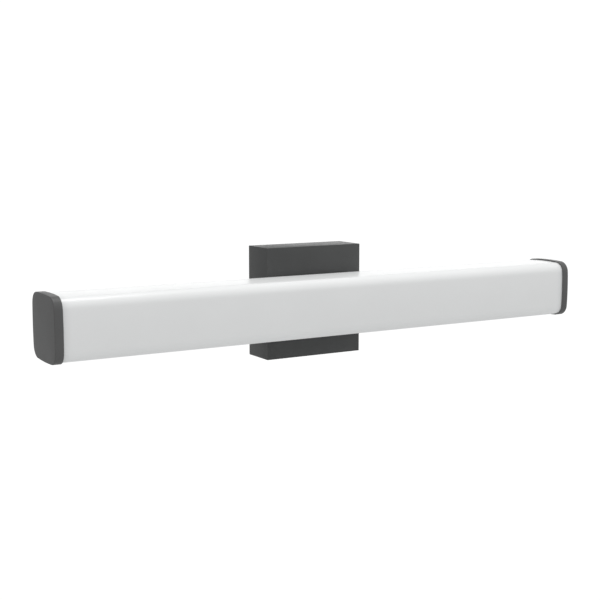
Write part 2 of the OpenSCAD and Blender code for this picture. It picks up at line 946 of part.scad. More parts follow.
// Moulded right end cap; the left one is its mirror image
module end_cap() {
    shrink = [1 - cap_chamfer / cap_half[0], 1 - cap_chamfer / cap_half[1]];
    straight_end = bar_length / 2 - cap_chamfer_length;
    leg_outer = channel_half - channel_wall - running_gap;
    leg_inner = leg_outer - leg_thickness;
    color(graphite)
        union() {
            difference() {
                union() {
                    along_bar(cap_inner, straight_end)
                        polygon(outline(0));
                    translate([straight_end, bar_y, 0])
                        rotate([90, 0, 90])
                            linear_extrude(height = cap_chamfer_length, scale = shrink)
                                polygon(outline(0));
                }
                along_bar(cap_inner - overrun, pocket_floor)
                    intersection() {
                        polygon(outline(diffuser_inset - slip_gap));
                        translate([-cap_depth, -cap_height])
                            square([cap_depth + channel_back + slip_gap, 2 * cap_height]);
                    }
            }
            along_bar(boss_end, pocket_floor + eps)
                intersection() {
                    difference() {
                        polygon(outline(diffuser_inset + diffuser_wall + boss_gap));
                        polygon(outline(diffuser_inset + diffuser_wall + boss_gap + boss_wall));
                    }
                    translate([-cap_depth, -cap_height])
                        square([cap_depth + tongue_front - boss_gap, 2 * cap_height]);
                }
            for (side = [-1, 1])
                block(
                    [pocket_floor - leg_length, pocket_floor + eps],
                    [bar_y + channel_front + leg_inset, bar_y + channel_back_front - leg_inset],
                    side > 0 ? [leg_inner, leg_outer] : [-leg_outer, -leg_inner]
                );
        }
}

module left_end_cap() {
    mirror([1, 0, 0])
        end_cap();
}

module right_end_cap() {
    end_cap();
}

wall_plate();
ground_screw();
canopy();
driver_standoffs();
ground_stud();
ground_terminal();
ground_nut();
driver_case();
driver_lid();
driver_circuit_board();
driver_transformer();
driver_capacitors();
driver_choke();
driver_screws();
wire_bushing();
channel_screws();
channel_nuts();
mounting_screws();
back_channel();
led_tray();
tray_screws();
led_board(-1);  // led_board_left
led_board(1);  // led_board_right
leds(-1);  // leds_left
leds(1);  // leds_right
board_screws();
board_connectors();
supply_lead_black();
supply_lead_white();
ground_lead_green();
wire_connectors();
led_lead_red();
led_lead_black();
link_lead_red();
link_lead_black();
diffuser();
left_end_cap();
right_end_cap();
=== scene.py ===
import math

import bmesh
import bpy
from mathutils import Matrix, Vector


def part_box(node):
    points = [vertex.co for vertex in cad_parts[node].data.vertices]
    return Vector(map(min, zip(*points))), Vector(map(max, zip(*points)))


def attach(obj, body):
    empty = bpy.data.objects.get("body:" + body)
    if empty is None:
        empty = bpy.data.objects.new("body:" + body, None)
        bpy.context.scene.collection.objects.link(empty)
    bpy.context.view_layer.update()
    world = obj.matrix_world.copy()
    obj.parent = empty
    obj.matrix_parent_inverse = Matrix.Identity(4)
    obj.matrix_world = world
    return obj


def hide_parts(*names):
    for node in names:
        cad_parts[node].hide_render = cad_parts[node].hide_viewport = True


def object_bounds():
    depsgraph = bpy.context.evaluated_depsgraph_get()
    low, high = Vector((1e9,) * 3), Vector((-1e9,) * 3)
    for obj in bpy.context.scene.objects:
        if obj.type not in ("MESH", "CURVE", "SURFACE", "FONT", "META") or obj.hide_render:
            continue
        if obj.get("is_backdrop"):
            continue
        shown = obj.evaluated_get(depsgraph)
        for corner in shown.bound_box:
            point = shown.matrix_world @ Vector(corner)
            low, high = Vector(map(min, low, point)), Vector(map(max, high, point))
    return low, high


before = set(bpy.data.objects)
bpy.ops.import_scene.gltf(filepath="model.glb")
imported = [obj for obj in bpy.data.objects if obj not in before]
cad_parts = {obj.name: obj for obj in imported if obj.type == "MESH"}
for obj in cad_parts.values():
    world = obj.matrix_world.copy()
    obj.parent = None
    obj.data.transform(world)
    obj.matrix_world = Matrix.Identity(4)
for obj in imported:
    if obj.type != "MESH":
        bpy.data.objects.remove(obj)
cad_low, cad_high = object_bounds()

# ------------------------------------------------
# Studio. The light hangs free in a bright white room: a pale floor well below it, a large soft
# box overhead and even light all round. The camera stands to its left, a little above it.
# ------------------------------------------------
cap_low, cap_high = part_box("left_end_cap")
bar_axis = Vector((0, (cap_low.y + cap_high.y) / 2, (cap_low.z + cap_high.z) / 2))
camera_from_bar = Vector((-0.6229, -0.9906, 0.1634))
camera_turn = math.radians(30.68)
camera_dip = math.radians(7.74)
camera_lens_mm = 68.17


def linked(name, data):
    """A new object in the scene."""
    thing = bpy.data.objects.new(name, data)
    bpy.context.scene.collection.objects.link(thing)
    return thing


def look(thing, way):
    """Turns a camera or a lamp to look along a direction."""
    thing.rotation_mode = "QUATERNION"
    thing.rotation_quaternion = way.to_track_quat("-Z", "Y")


camera_data = bpy.data.cameras.new("camera")
camera_data.lens = camera_lens_mm
camera_data.sensor_width = 36
camera_data.clip_start = 0.01
camera = linked("camera", camera_data)
camera.location = bar_axis + camera_from_bar
look(camera, Vector((
    math.sin(camera_turn) * math.cos(camera_dip),
    math.cos(camera_turn) * math.cos(camera_dip),
    -math.sin(camera_dip),
)))
bpy.context.scene.camera = camera
bpy.context.scene.view_settings.view_transform = "Standard"


def colour(hex_code):
    """Linear RGBA of an sRGB hex colour."""
    channels = [int(hex_code[i:i + 2], 16) / 255 for i in (1, 3, 5)]
    linear = [c / 12.92 if c <= 0.04045 else ((c + 0.055) / 1.055) ** 2.4 for c in channels]
    return (*linear, 1)


def add(tree, kind, inputs=None, **settings):
    """Adds a node with its settings; each input gets a value, or a link from a node or a socket."""
    made = tree.nodes.new(kind)
    for name, value in settings.items():
        setattr(made, name, value)
    for key, value in (inputs or {}).items():
        live = [socket for socket in made.inputs if socket.enabled and socket.name == key]
        target = live[0] if live else made.inputs[key]
        if isinstance(value, bpy.types.Node):
            value = next(socket for socket in value.outputs if socket.enabled)
        if isinstance(value, bpy.types.NodeSocket):
            tree.links.new(value, target)
        else:
            target.default_value = value
    return made


def into(mesh, shape):
    """The mesh, with the working shape written to it."""
    shape.to_mesh(mesh)
    shape.free()
    return mesh


def block(name, low, high):
    """A closed box between two corners."""
    low, high = Vector(low), Vector(high)
    shape = bmesh.new()
    bmesh.ops.create_cube(
        shape, size=1,
        matrix=Matrix.Translation((low + high) / 2) @ Matrix.Diagonal((*(high - low), 1)),
    )
    return linked(name, into(bpy.data.meshes.new(name), shape))


floor_drop = 0.6
floor_reach = 6.0
floor_thick = 0.02
floor_top = cad_low.z - floor_drop
floor = block(
    "floor", (-floor_reach, -floor_reach, floor_top - floor_thick),
    (floor_reach, floor_reach, floor_top),
)


def new_material(name):
    """An empty node material and its tree."""
    material = bpy.data.materials.new(name)
    material.use_nodes = True
    material.node_tree.nodes.clear()
    return material, material.node_tree


white_seen = 1.05        # the floor and the walls look plain white behind the light
floor_paint, tree = new_material("pale floor paint")
matt = add(tree, "ShaderNodeBsdfDiffuse", {"Color": colour("#e2e3e3")})
glow = add(tree, "ShaderNodeEmission", {"Color": colour("#ffffff"), "Strength": white_seen})
eye = add(tree, "ShaderNodeLightPath")
shown = add(tree, "ShaderNodeMixShader", {0: eye.outputs["Is Camera Ray"], 1: matt, 2: glow})
add(tree, "ShaderNodeOutputMaterial", {"Surface": shown})
floor.data.materials.append(floor_paint)
floor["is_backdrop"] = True

wall_light = 0.676
wall_swing = 0.3         # the walls in front and on the right are the lighter ones
lighter_way = (0.7, -0.7, 0)
room = bpy.data.worlds.new("white room")
room.use_nodes = True
tree = room.node_tree
tree.nodes.clear()
way = add(tree, "ShaderNodeTexCoord").outputs["Generated"]
towards = add(tree, "ShaderNodeVectorMath", {0: way, 1: lighter_way}, operation="DOT_PRODUCT")
swing = add(tree, "ShaderNodeMapRange", {
    "Value": towards.outputs["Value"], "From Min": -1.0, "From Max": 1.0,
    "To Min": wall_light * (1 - wall_swing), "To Max": wall_light * (1 + wall_swing),
})
walls = add(tree, "ShaderNodeBackground", {"Color": colour("#ffffff"), "Strength": swing})
backdrop = add(tree, "ShaderNodeBackground", {"Color": colour("#ffffff"), "Strength": white_seen})
eye = add(tree, "ShaderNodeLightPath")
shown = add(tree, "ShaderNodeMixShader", {0: eye.outputs["Is Camera Ray"], 1: walls, 2: backdrop})
add(tree, "ShaderNodeOutputWorld", {"Surface": shown})
bpy.context.scene.world = room


def soft_box(name, place, width, height, watts):
    """A flat soft light at a place, aimed at the bar."""
    lamp = bpy.data.lights.new(name, "AREA")
    lamp.shape = "RECTANGLE"
    lamp.size = width
    lamp.size_y = height
    lamp.energy = watts
    holder = linked(name, lamp)
    holder.location = place
    look(holder, bar_axis - Vector(place))


soft_box("overhead softbox", (0, -0.02, 1.5), width=0.62, height=0.62, watts=8.4)
soft_box("white panel behind", (1.7, 2.8, 0.55), width=2.8, height=0.5, watts=4.0)


# ------------------------------------------------
# Canopy. A box folded from 1.2 mm steel sheet, welded at its corners, ground flush and powder
# coated dark grey. It is open towards the wall; its front has the holes that the bar's screws
# and leads pass through. The folds keep a small outside radius, which catches a thin highlight.
# ------------------------------------------------
MM = 0.001                   # the frame is in metres
same_place = 0.002 * MM      # corners nearer than this are one corner
noise_span = {"From Min": 0.3, "From Max": 0.7}    # where nearly all of a noise's values lie


def powder_coat(name, dark, light, roughness, ior, peel_mm, grain_mm):
    """Baked polyester powder. It flows out into a faint orange peel with a sandy grain on it,
    which turns a highlight into a soft even sheen."""
    material, tree = new_material(name)
    at = add(tree, "ShaderNodeTexCoord").outputs["Object"]
    drift = add(tree, "ShaderNodeTexNoise", {"Vector": at, "Scale": 1 / (38 * MM), "Detail": 3})
    grit = add(tree, "ShaderNodeTexNoise", {
        "Vector": at, "Scale": 1 / (grain_mm * MM), "Detail": 2,
    })
    peel = add(tree, "ShaderNodeTexNoise", {"Vector": at, "Scale": 1 / (peel_mm * MM), "Detail": 1})
    tone = add(tree, "ShaderNodeMath", {0: grit, 1: 0.3, 2: drift}, operation="MULTIPLY_ADD")
    tone = add(tree, "ShaderNodeMapRange", {"Value": tone, "From Min": 0.4, "From Max": 0.9})
    tint = add(tree, "ShaderNodeMix", {
        "Factor": tone, "A": colour(dark), "B": colour(light),
    }, data_type="RGBA")
    sheen = add(tree, "ShaderNodeMapRange", {
        "Value": drift, **noise_span,
        "To Min": roughness - 0.04, "To Max": roughness + 0.04,
    })
    waves = add(tree, "ShaderNodeBump", {"Height": peel, "Strength": 0.7, "Distance": 0.1 * MM})
    relief = add(tree, "ShaderNodeBump", {
        "Height": grit, "Strength": 0.7, "Distance": 0.08 * MM, "Normal": waves,
    })
    shader = add(tree, "ShaderNodeBsdfPrincipled", {
        "Base Color": tint, "Roughness": sheen, "IOR": ior, "Normal": relief,
    })
    add(tree, "ShaderNodeOutputMaterial", {"Surface": shader})
    return material


def opened(mesh):
    """A working copy of a mesh's shape."""
    shape = bmesh.new()
    shape.from_mesh(mesh)
    return shape


def smooth_by_angle(mesh, degrees=32):
    """Smooth faces, with every edge sharper than the angle kept crisp."""
    shape = opened(mesh)
    for face in shape.faces:
        face.smooth = True
    for edge in shape.edges:
        edge.smooth = len(edge.link_faces) == 2 and edge.calc_face_angle(0) < math.radians(degrees)
    into(mesh, shape)


def applied(thing):
    """The object with its modifiers worked into a plain mesh of its own."""
    bpy.context.view_layer.update()
    depsgraph = bpy.context.evaluated_depsgraph_get()
    mesh = bpy.data.meshes.new_from_object(thing.evaluated_get(depsgraph))
    thing.modifiers.clear()
    if thing.type == "MESH":
        thing.data = mesh
        return thing
    solid = linked(thing.name + "_solid", mesh)
    bpy.data.objects.remove(thing)
    return solid


def eased(name, node, edge_mm, steps=2):
    """A copy of a CAD node whose sharp edges get a small round, as folding and moulding leave."""
    sharp = math.radians(28)
    flat = math.radians(0.4)
    shape = opened(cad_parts[node].data)
    bmesh.ops.remove_doubles(shape, verts=shape.verts, dist=same_place)
    bmesh.ops.dissolve_limit(shape, angle_limit=flat, verts=shape.verts, edges=shape.edges)
    thing = linked(name, into(bpy.data.meshes.new(name), shape))
    edge = thing.modifiers.new("eased edges", "BEVEL")
    edge.width = edge_mm * MM
    edge.segments = steps
    edge.limit_method = "ANGLE"
    edge.angle_limit = sharp
    edge.use_clamp_overlap = True
    applied(thing)
    smooth_by_angle(thing.data)
    return thing


def settle(thing, body, material, node):
    """The piece gets its material, rides on its body and stands for its CAD node."""
    thing.data.materials.clear()
    thing.data.materials.append(material)
    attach(thing, body)
    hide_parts(node)


def softened(name, node, material, edge_mm, steps=2, body="fixture"):
    """The piece of a CAD node that needs soft edges and a material, and nothing more."""
    settle(eased(name, node, edge_mm, steps), body, material, node)


graphite_coat = powder_coat(
    "graphite powder coat", "#444545", "#494a4a", roughness=0.4, ior=1.4, peel_mm=1.3, grain_mm=0.4,
)
softened("canopy_box", "canopy", graphite_coat, 0.35, steps=3)


# ------------------------------------------------
# Wall plate. Stamped from 1.5 mm galvanised sheet: slots for the outlet box's screws, a cable
# opening, two drawn collars tapped for the mounting screws and a lanced tab for the earth screw.
# ------------------------------------------------
def galvanised(name):
    """Hot-dip zinc. It sets in flat crystals about 4 mm across, each its own grey and lustre."""
    material, tree = new_material(name)
    at = add(tree, "ShaderNodeTexCoord").outputs["Object"]
    crystals = add(tree, "ShaderNodeTexVoronoi", {"Vector": at, "Scale": 1 / (4 * MM)})
    chance = add(tree, "ShaderNodeSeparateColor", {"Color": crystals.outputs["Color"]})
    frost = add(tree, "ShaderNodeTexNoise", {"Vector": at, "Scale": 1 / (1.1 * MM), "Detail": 3})
    tint = add(tree, "ShaderNodeMix", {
        "Factor": chance.outputs["Red"], "A": colour("#a3a8ad"), "B": colour("#c6cacd"),
    }, data_type="RGBA")
    lustre = add(tree, "ShaderNodeMapRange", {
        "Value": chance.outputs["Green"], "To Min": 0.32, "To Max": 0.5,
    })
    facets = add(tree, "ShaderNodeBump", {
        "Height": chance.outputs["Blue"], "Strength": 0.15, "Distance": 0.01 * MM,
    })
    relief = add(tree, "ShaderNodeBump", {
        "Height": frost, "Strength": 0.25, "Distance": 0.02 * MM, "Normal": facets,
    })
    shader = add(tree, "ShaderNodeBsdfPrincipled", {
        "Base Color": tint, "Roughness": lustre, "Metallic": 1.0, "Normal": relief,
    })
    add(tree, "ShaderNodeOutputMaterial", {"Surface": shader})
    return material


galvanised_steel = galvanised("galvanised steel")
softened(
    "wall_plate_pressing", "wall_plate", galvanised_steel, 0.2,
    body="wall_mount",
)


# ------------------------------------------------
# Screws. Cold-headed steel with a rolled thread, a domed pan head and a cross recess, zinc
# plated, or painted green for earth. Every one is a turned blank placed by one node tree, with
# the recess left at whatever angle the last turn gave it.
# ------------------------------------------------
head_to_shank = 1.9
root_share = 0.84         # of the thread's outer radius
rows_a_turn = 4


def solids(node):
    """The box of each separate solid in a CAD node, as (lowest, highest) corners."""
    shape = opened(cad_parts[node].data)
    bmesh.ops.remove_doubles(shape, verts=shape.verts, dist=same_place)
    left = set(shape.verts)
    boxes = []
    while left:
        reached = [left.pop()]
        island = []
        while reached:
            vert = reached.pop()
            island.append(vert.co.copy())
            for edge in vert.link_edges:
                other = edge.other_vert(vert)
                if other in left:
                    left.discard(other)
                    reached.append(other)
        boxes.append((
            Vector(min(p[i] for p in island) for i in range(3)),
            Vector(max(p[i] for p in island) for i in range(3)),
        ))
    shape.free()
    return sorted(boxes, key=lambda corners: tuple(round(v, 5) for v in corners[0]))


def skinned(name, rings):
    """A closed skin over rings of equal count. The first and the last are single points."""
    shape = bmesh.new()
    made = [[shape.verts.new(point) for point in ring] for ring in rings]
    count = len(made[1])
    for lower, upper in zip(made, made[1:]):
        for k in range(count):
            after = (k + 1) % count
            corners = (
                lower[k % len(lower)], lower[after % len(lower)],
                upper[after % len(upper)], upper[k % len(upper)],
            )
            shape.faces.new(list(dict.fromkeys(corners)))    # a single point counts once
    bmesh.ops.recalc_face_normals(shape, faces=shape.faces)
    return linked(name, into(bpy.data.meshes.new(name), shape))


def turned(name, profile, sides):
    """A closed shape of revolution about Z from (radius, height) points, lowest point first.
    A radius may be a function of the angle, which is how threads and grips are cut."""
    rings = []
    for radius, height in profile:
        if radius == 0:
            rings.append([(0, 0, height)])
            continue
        ring = []
        for k in range(sides):
            angle = 2 * math.pi * k / sides
            r = radius(angle) if callable(radius) else radius
            ring.append((r * math.cos(angle), r * math.sin(angle), height))
        rings.append(ring)
    return skinned(name, rings)


def clean(mesh):
    """Merges the corners that fall on one another and takes out faces of no area."""
    closest = 2 * same_place
    shape = opened(mesh)
    bmesh.ops.remove_doubles(shape, verts=shape.verts, dist=closest)
    bmesh.ops.dissolve_degenerate(shape, edges=shape.edges, dist=closest)
    bmesh.ops.triangulate(shape, faces=[face for face in shape.faces if len(face.verts) > 4])
    into(mesh, shape)


def cut(thing, tool, operation="DIFFERENCE"):
    """Cuts one closed shape with another and leaves a plain mesh."""
    knife = thing.modifiers.new("cut", "BOOLEAN")
    knife.object = tool
    knife.operation = operation
    knife.solver = "EXACT"
    applied(thing)
    bpy.data.objects.remove(tool)
    clean(thing.data)


def thread(profile, root, crest, pitch, start, end, rows):
    """Adds the turns of a rolled thread to a profile, between two heights."""
    for i in range(rows + 1):
        height = start + (end - start) * i / rows

        def ridge(angle, height=height):
            phase = (height / pitch - angle / (2 * math.pi)) % 1
            return root + (crest - root) * (1 - abs(2 * phase - 1))
        profile.append((ridge, height))


def screw_blank(name, shank, length, head_height, pitch):
    """A pan-head screw along +Z, its head's underside at 0, with a rolled thread."""
    head = shank * head_to_shank
    root = shank * root_share
    head_rim = 0.35           # the dome's foot, as a share of the head's height
    profile = [(0, -head_height)]
    for i in range(1, 7):
        turn = math.radians(15 * i)
        drop = head_rim + (1 - head_rim) * math.cos(turn)
        profile.append((head * math.sin(turn), -head_height * drop))
    profile += [(head, -head_height * 0.08), (head * 0.985, 0), (root, 0)]
    start = 0.3 * MM
    end = length - shank * 0.6
    rows = max(int((end - start) / pitch * rows_a_turn), 2)
    thread(profile, root, shank, pitch, start, end, rows)
    profile += [(root * 0.8, length - shank * 0.25), (root * 0.35, length), (0, length)]
    blank = turned(name, profile, 24)
    arm = head * 0.56
    width = head * 0.17
    narrowing = 0.6
    for x, y in ((arm, width), (width, arm)):
        recess = block("recess", (-x, -y, -head_height * 2), (x, y, -head_height * 0.45))
        for vert in recess.data.vertices:
            if vert.co.z > -head_height:
                vert.co.x *= narrowing
                vert.co.y *= narrowing
        cut(blank, recess)
    smooth_by_angle(blank.data, 38)
    return blank


def new_tree(name, sockets):
    """A geometry node tree with a geometry input and the named inputs."""
    tree = bpy.data.node_groups.new(name, "GeometryNodeTree")
    tree.interface.new_socket(name="Geometry", in_out="INPUT", socket_type="NodeSocketGeometry")
    for label, kind in sockets.items():
        tree.interface.new_socket(name=label, in_out="INPUT", socket_type="NodeSocket" + kind)
    tree.interface.new_socket(name="Geometry", in_out="OUTPUT", socket_type="NodeSocketGeometry")
    return tree, tree.nodes.new("NodeGroupInput").outputs


def grow(thing, tree, values):
    """Runs a tree on an object with its inputs set, and leaves a plain mesh."""
    modifier = thing.modifiers.new(tree.name, "NODES")
    modifier.node_group = tree
    for item in tree.interface.items_tree:
        if item.in_out == "INPUT" and item.name in values:
            modifier[item.identifier] = values[item.name]
    return applied(thing)


def dress(tree, shape, material):
    """Ends a tree: the shape, made real and given its material, goes to the output."""
    real = add(tree, "GeometryNodeRealizeInstances", {"Geometry": shape})
    dressed = add(tree, "GeometryNodeSetMaterial", {"Geometry": real, "Material": material})
    add(tree, "NodeGroupOutput", {"Geometry": dressed})


place_tree, given = new_tree("place on points", {
    "Piece": "Object", "Seed": "Int", "Spin": "Float", "Material": "Material",
})
facing = add(
    place_tree, "GeometryNodeInputNamedAttribute", {"Name": "facing"}, data_type="FLOAT_VECTOR",
)
aimed = add(
    place_tree, "FunctionNodeAlignRotationToVector",
    {"Vector": facing.outputs["Attribute"]}, axis="Z",
)
chance = add(place_tree, "FunctionNodeRandomValue", {"Seed": given["Seed"]}, data_type="FLOAT")
angle = add(
    place_tree, "ShaderNodeMath", {0: chance.outputs[1], 1: given["Spin"]}, operation="MULTIPLY",
)
spin = add(place_tree, "FunctionNodeAxisAngleToRotation", {"Axis": (0, 0, 1), "Angle": angle})
turned_by = add(
    place_tree, "FunctionNodeRotateRotation", {"Rotation": aimed, "Rotate By": spin},
    rotation_space="LOCAL",
)
piece = add(place_tree, "GeometryNodeObjectInfo", {"Object": given["Piece"]})
spots = add(place_tree, "GeometryNodeInstanceOnPoints", {
    "Points": given["Geometry"], "Instance": piece.outputs["Geometry"], "Rotation": turned_by,
})
dress(place_tree, spots, given["Material"])


def place(name, blank, spots, seed, material, spin_turn=2 * math.pi):
    """Copies of a blank at spots of (place, way), each facing its way. The blank itself goes."""
    points = bpy.data.meshes.new(name)
    points.from_pydata([spot for spot, _ in spots], [], [])
    ways = points.attributes.new("facing", "FLOAT_VECTOR", "POINT")
    for entry, (_, way) in zip(ways.data, spots):
        entry.vector = way
    thing = linked(name, points)
    grow(thing, place_tree, {
        "Piece": blank, "Seed": seed, "Spin": spin_turn, "Material": material,
    })
    if "facing" in thing.data.attributes:
        thing.data.attributes.remove(thing.data.attributes["facing"])
    bpy.data.objects.remove(blank)
    return thing


def screws(name, node, body, slot, material, way, pitch_mm, head_height_mm, seed):
    """The screws of a CAD node. The way that they are driven in is a direction, or a function
    that finds it from a screw's middle."""
    head_height = head_height_mm * MM
    spots = []
    for low, high in solids(node):
        centre = (low + high) / 2
        direction = way(centre) if callable(way) else way
        axis = max(range(3), key=lambda i: abs(direction[i]))
        across = (axis + 1) % 3
        head_end = centre.copy()
        head_end[axis] = low[axis] if direction[axis] > 0 else high[axis]
        spots.append((head_end + direction * head_height, direction))
        head = (high[across] - low[across]) / 2
        length = high[axis] - low[axis] - head_height
    blank = screw_blank(name + "_blank", head / head_to_shank, length, head_height, pitch_mm * MM)
    settle(place(name, blank, spots, seed, material), body, material, node)


def surface(name, dark, light, gloss, drift_mm, grain_mm, relief, drawn=1, rubbed=False, **optics):
    """Two tints that drift into one another over a fine grain, which drawing stretches along
    the bar. A rubbed surface's gloss follows its grain; any other's follows the drift."""
    material, tree = new_material(name)
    at = add(tree, "ShaderNodeTexCoord").outputs["Object"]
    along = add(tree, "ShaderNodeMapping", {"Vector": at, "Scale": (drawn, 1, 1)})
    drift = add(tree, "ShaderNodeTexNoise", {
        "Vector": at, "Scale": 1 / (drift_mm * MM), "Detail": 3,
    })
    grain = add(tree, "ShaderNodeTexNoise", {
        "Vector": along, "Scale": 1 / (grain_mm * MM), "Detail": 2,
    })
    share = add(tree, "ShaderNodeMapRange", {"Value": drift, **noise_span})
    tint = add(tree, "ShaderNodeMix", {
        "Factor": share, "A": colour(dark), "B": colour(light),
    }, data_type="RGBA")
    sheen = add(tree, "ShaderNodeMapRange", {
        "Value": grain if rubbed else drift, **noise_span,
        "To Min": gloss[0], "To Max": gloss[1],
    })
    strength, depth_mm = relief
    bump = add(tree, "ShaderNodeBump", {
        "Height": grain, "Strength": strength, "Distance": depth_mm * MM,
    })
    shader = add(tree, "ShaderNodeBsdfPrincipled", {
        "Base Color": tint, "Roughness": sheen, "Normal": bump, **optics,
    })
    add(tree, "ShaderNodeOutputMaterial", {"Surface": shader})
    return material


def plated(name, dull, bright, roughness):
    """Bright metal, plated or drawn: an even lustre, clouded a little by handling."""
    return surface(
        name, dull, bright, (roughness - 0.06, roughness + 0.08), drift_mm=3, grain_mm=0.5,
        relief=(0.12, 0.01), rubbed=True, Metallic=1.0,
    )


zinc_plate = plated("bright zinc plate", "#a9adb3", "#cfd3d8", 0.28)
green_paint = powder_coat(
    "green earth paint", "#1f7a3a", "#2f9148", roughness=0.35, ior=1.5, peel_mm=0.9, grain_mm=0.3,
)

to_wall = Vector((0, 1, 0))
downwards = Vector((0, 0, -1))


def to_bar_axis(centre):
    """Down for the screws above the bar's axis, and up for those below it."""
    return downwards if centre.z > 0 else -downwards


painted = ("wall_mount", "green_paint", green_paint)
zinced = ("fixture", "zinc_plate", zinc_plate)
screw_sets = (     # piece, CAD node, finish, way, thread's pitch and head's height in mm, seed
    ("earth_screw", "ground_screw", painted, downwards, 0.5, 2.4, 3),
    ("long_mounting_screws", "mounting_screws", zinced, to_wall, 0.7, 2.4, 5),
    ("channel_fixing_screws", "channel_screws", zinced, to_wall, 0.7, 2.4, 7),
    ("driver_fixing_screws", "driver_screws", zinced, -to_wall, 0.5, 1.8, 11),
    ("tray_fixing_screws", "tray_screws", zinced, to_bar_axis, 0.5, 1.6, 13),
    ("board_fixing_screws", "board_screws", zinced, to_wall, 0.5, 1.6, 17),
)
for name, node, finish, way, pitch_mm, head_height_mm, seed in screw_sets:
    screws(name, node, *finish, way, pitch_mm, head_height_mm, seed)


# ------------------------------------------------
# Hex nuts. Cold-formed and tapped, with their six corners turned off to a cone on both faces.
# Four hold the channel to the canopy and one holds the earth terminal on its stud.
# ------------------------------------------------
def feet(node):
    """The middle of each solid's foot in a CAD node, with its way towards the wall."""
    return [
        (Vector(((low.x + high.x) / 2, low.y, (low.z + high.z) / 2)), to_wall)
        for low, high in solids(node)
    ]


def nut_blank(name, radius, height, bore):
    """A hex nut from 0 to its height along Z, with one pair of corners along X."""
    nut = turned(name, [(0, 0), (radius, 0), (radius, height), (0, height)], 6)
    flat = radius * 0.9
    clear = radius * 1.05
    fall = radius * 0.07
    cut(nut, turned("cone", [
        (0, 0), (flat, 0), (clear, fall), (clear, height - fall), (flat, height), (0, height),
    ], 48), "INTERSECT")
    overrun = 0.5 * MM
    countersink = 0.2 * MM
    cut(nut, turned("hole", [
        (0, -overrun), (bore + overrun, -overrun), (bore, countersink),
        (bore, height - countersink), (bore + overrun, height + overrun), (0, height + overrun),
    ], 32))
    smooth_by_angle(nut.data, 25)
    return nut


nut_bore = 2.05 * MM
for name, node, seed in (
    ("channel_hex_nuts", "channel_nuts", 19), ("earth_hex_nut", "ground_nut", 23),
):
    low, high = solids(node)[0]
    blank = nut_blank(name + "_blank", (high.x - low.x) / 2, high.y - low.y, nut_bore)
    nuts = place(name, blank, feet(node), seed, zinc_plate, spin_turn=0)
    settle(nuts, "fixture", zinc_plate, node)


# ------------------------------------------------
# Earth stud and terminal. A copper-plated stud is welded inside the canopy's front; the lead's
# plated ring terminal, stamped and crimped, sits on it under the nut.
# ------------------------------------------------
copper_plate = plated("copper plate", "#a4683a", "#c98b56", 0.3)
stud_low, stud_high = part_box("ground_stud")
stud_radius = (stud_high.x - stud_low.x) / 2
stud_length = stud_high.y - stud_low.y
stud_pitch = 0.7 * MM
stud_rows = int(stud_length / stud_pitch * rows_a_turn)
stud_row = stud_length / stud_rows
stud_profile = [(0, 0), (stud_radius, 0)]
thread(
    stud_profile, stud_radius * root_share, stud_radius, stud_pitch,
    stud_row, stud_length - stud_row, stud_rows - 2,
)
stud_profile += [(stud_radius * 0.7, stud_length), (0, stud_length)]
stud_blank = turned("stud_blank", stud_profile, 24)
stud = place("earth_stud", stud_blank, feet("ground_stud"), 29, copper_plate)
smooth_by_angle(stud.data, 40)
settle(stud, "fixture", copper_plate, "ground_stud")
softened("earth_ring_terminal", "ground_terminal", zinc_plate, 0.12)


# ------------------------------------------------
# LED driver. A two-part case moulded in natural nylon, its lid snapped on, fixed by its ears to
# two pressed-in standoffs. Inside is a green circuit board with a taped transformer, two
# electrolytic capacitors and a toroidal choke.
# ------------------------------------------------
def moulded(name, dark, light, roughness, grain_mm):
    """Plastic from a spark-eroded mould: a fine even grain under a low sheen."""
    return surface(
        name, dark, light, (roughness - 0.04, roughness + 0.05), drift_mm=22, grain_mm=grain_mm,
        relief=(0.35, 0.015), IOR=1.5,
    )


natural_nylon = moulded("natural nylon", "#dedacd", "#eae7dd", 0.42, 0.5)
softened("driver_standoff_pillars", "driver_standoffs", zinc_plate, 0.15)
softened("driver_case_moulding", "driver_case", natural_nylon, 0.35, steps=3)
softened("driver_lid_moulding", "driver_lid", natural_nylon, 0.35, steps=3)


def solder_mask(name, dark, light, gap, etched):
    """Solder mask over an etched board. The copper areas stand a little proud under the glossy
    mask, and the gaps between them, which etched(tree, at) draws, show as thin lines."""
    material, tree = new_material(name)
    at = add(tree, "ShaderNodeTexCoord").outputs["Object"]
    gaps = etched(tree, at)
    cloud = add(tree, "ShaderNodeTexNoise", {"Vector": at, "Scale": 1 / (7 * MM), "Detail": 3})
    share = add(tree, "ShaderNodeMapRange", {"Value": cloud, **noise_span})
    ground = add(tree, "ShaderNodeMix", {
        "Factor": share, "A": colour(dark), "B": colour(light),
    }, data_type="RGBA")
    tint = add(tree, "ShaderNodeMix", {
        "Factor": gaps, "A": ground, "B": colour(gap),
    }, data_type="RGBA")
    gloss = add(tree, "ShaderNodeMapRange", {
        "Value": cloud, **noise_span, "To Min": 0.22, "To Max": 0.36,
    })
    relief = add(tree, "ShaderNodeBump", {
        "Height": gaps, "Strength": 0.4, "Distance": 0.035 * MM,
    }, invert=True)
    shader = add(tree, "ShaderNodeBsdfPrincipled", {
        "Base Color": tint, "Roughness": gloss, "IOR": 1.5, "Normal": relief,
    })
    add(tree, "ShaderNodeOutputMaterial", {"Surface": shader})
    return material


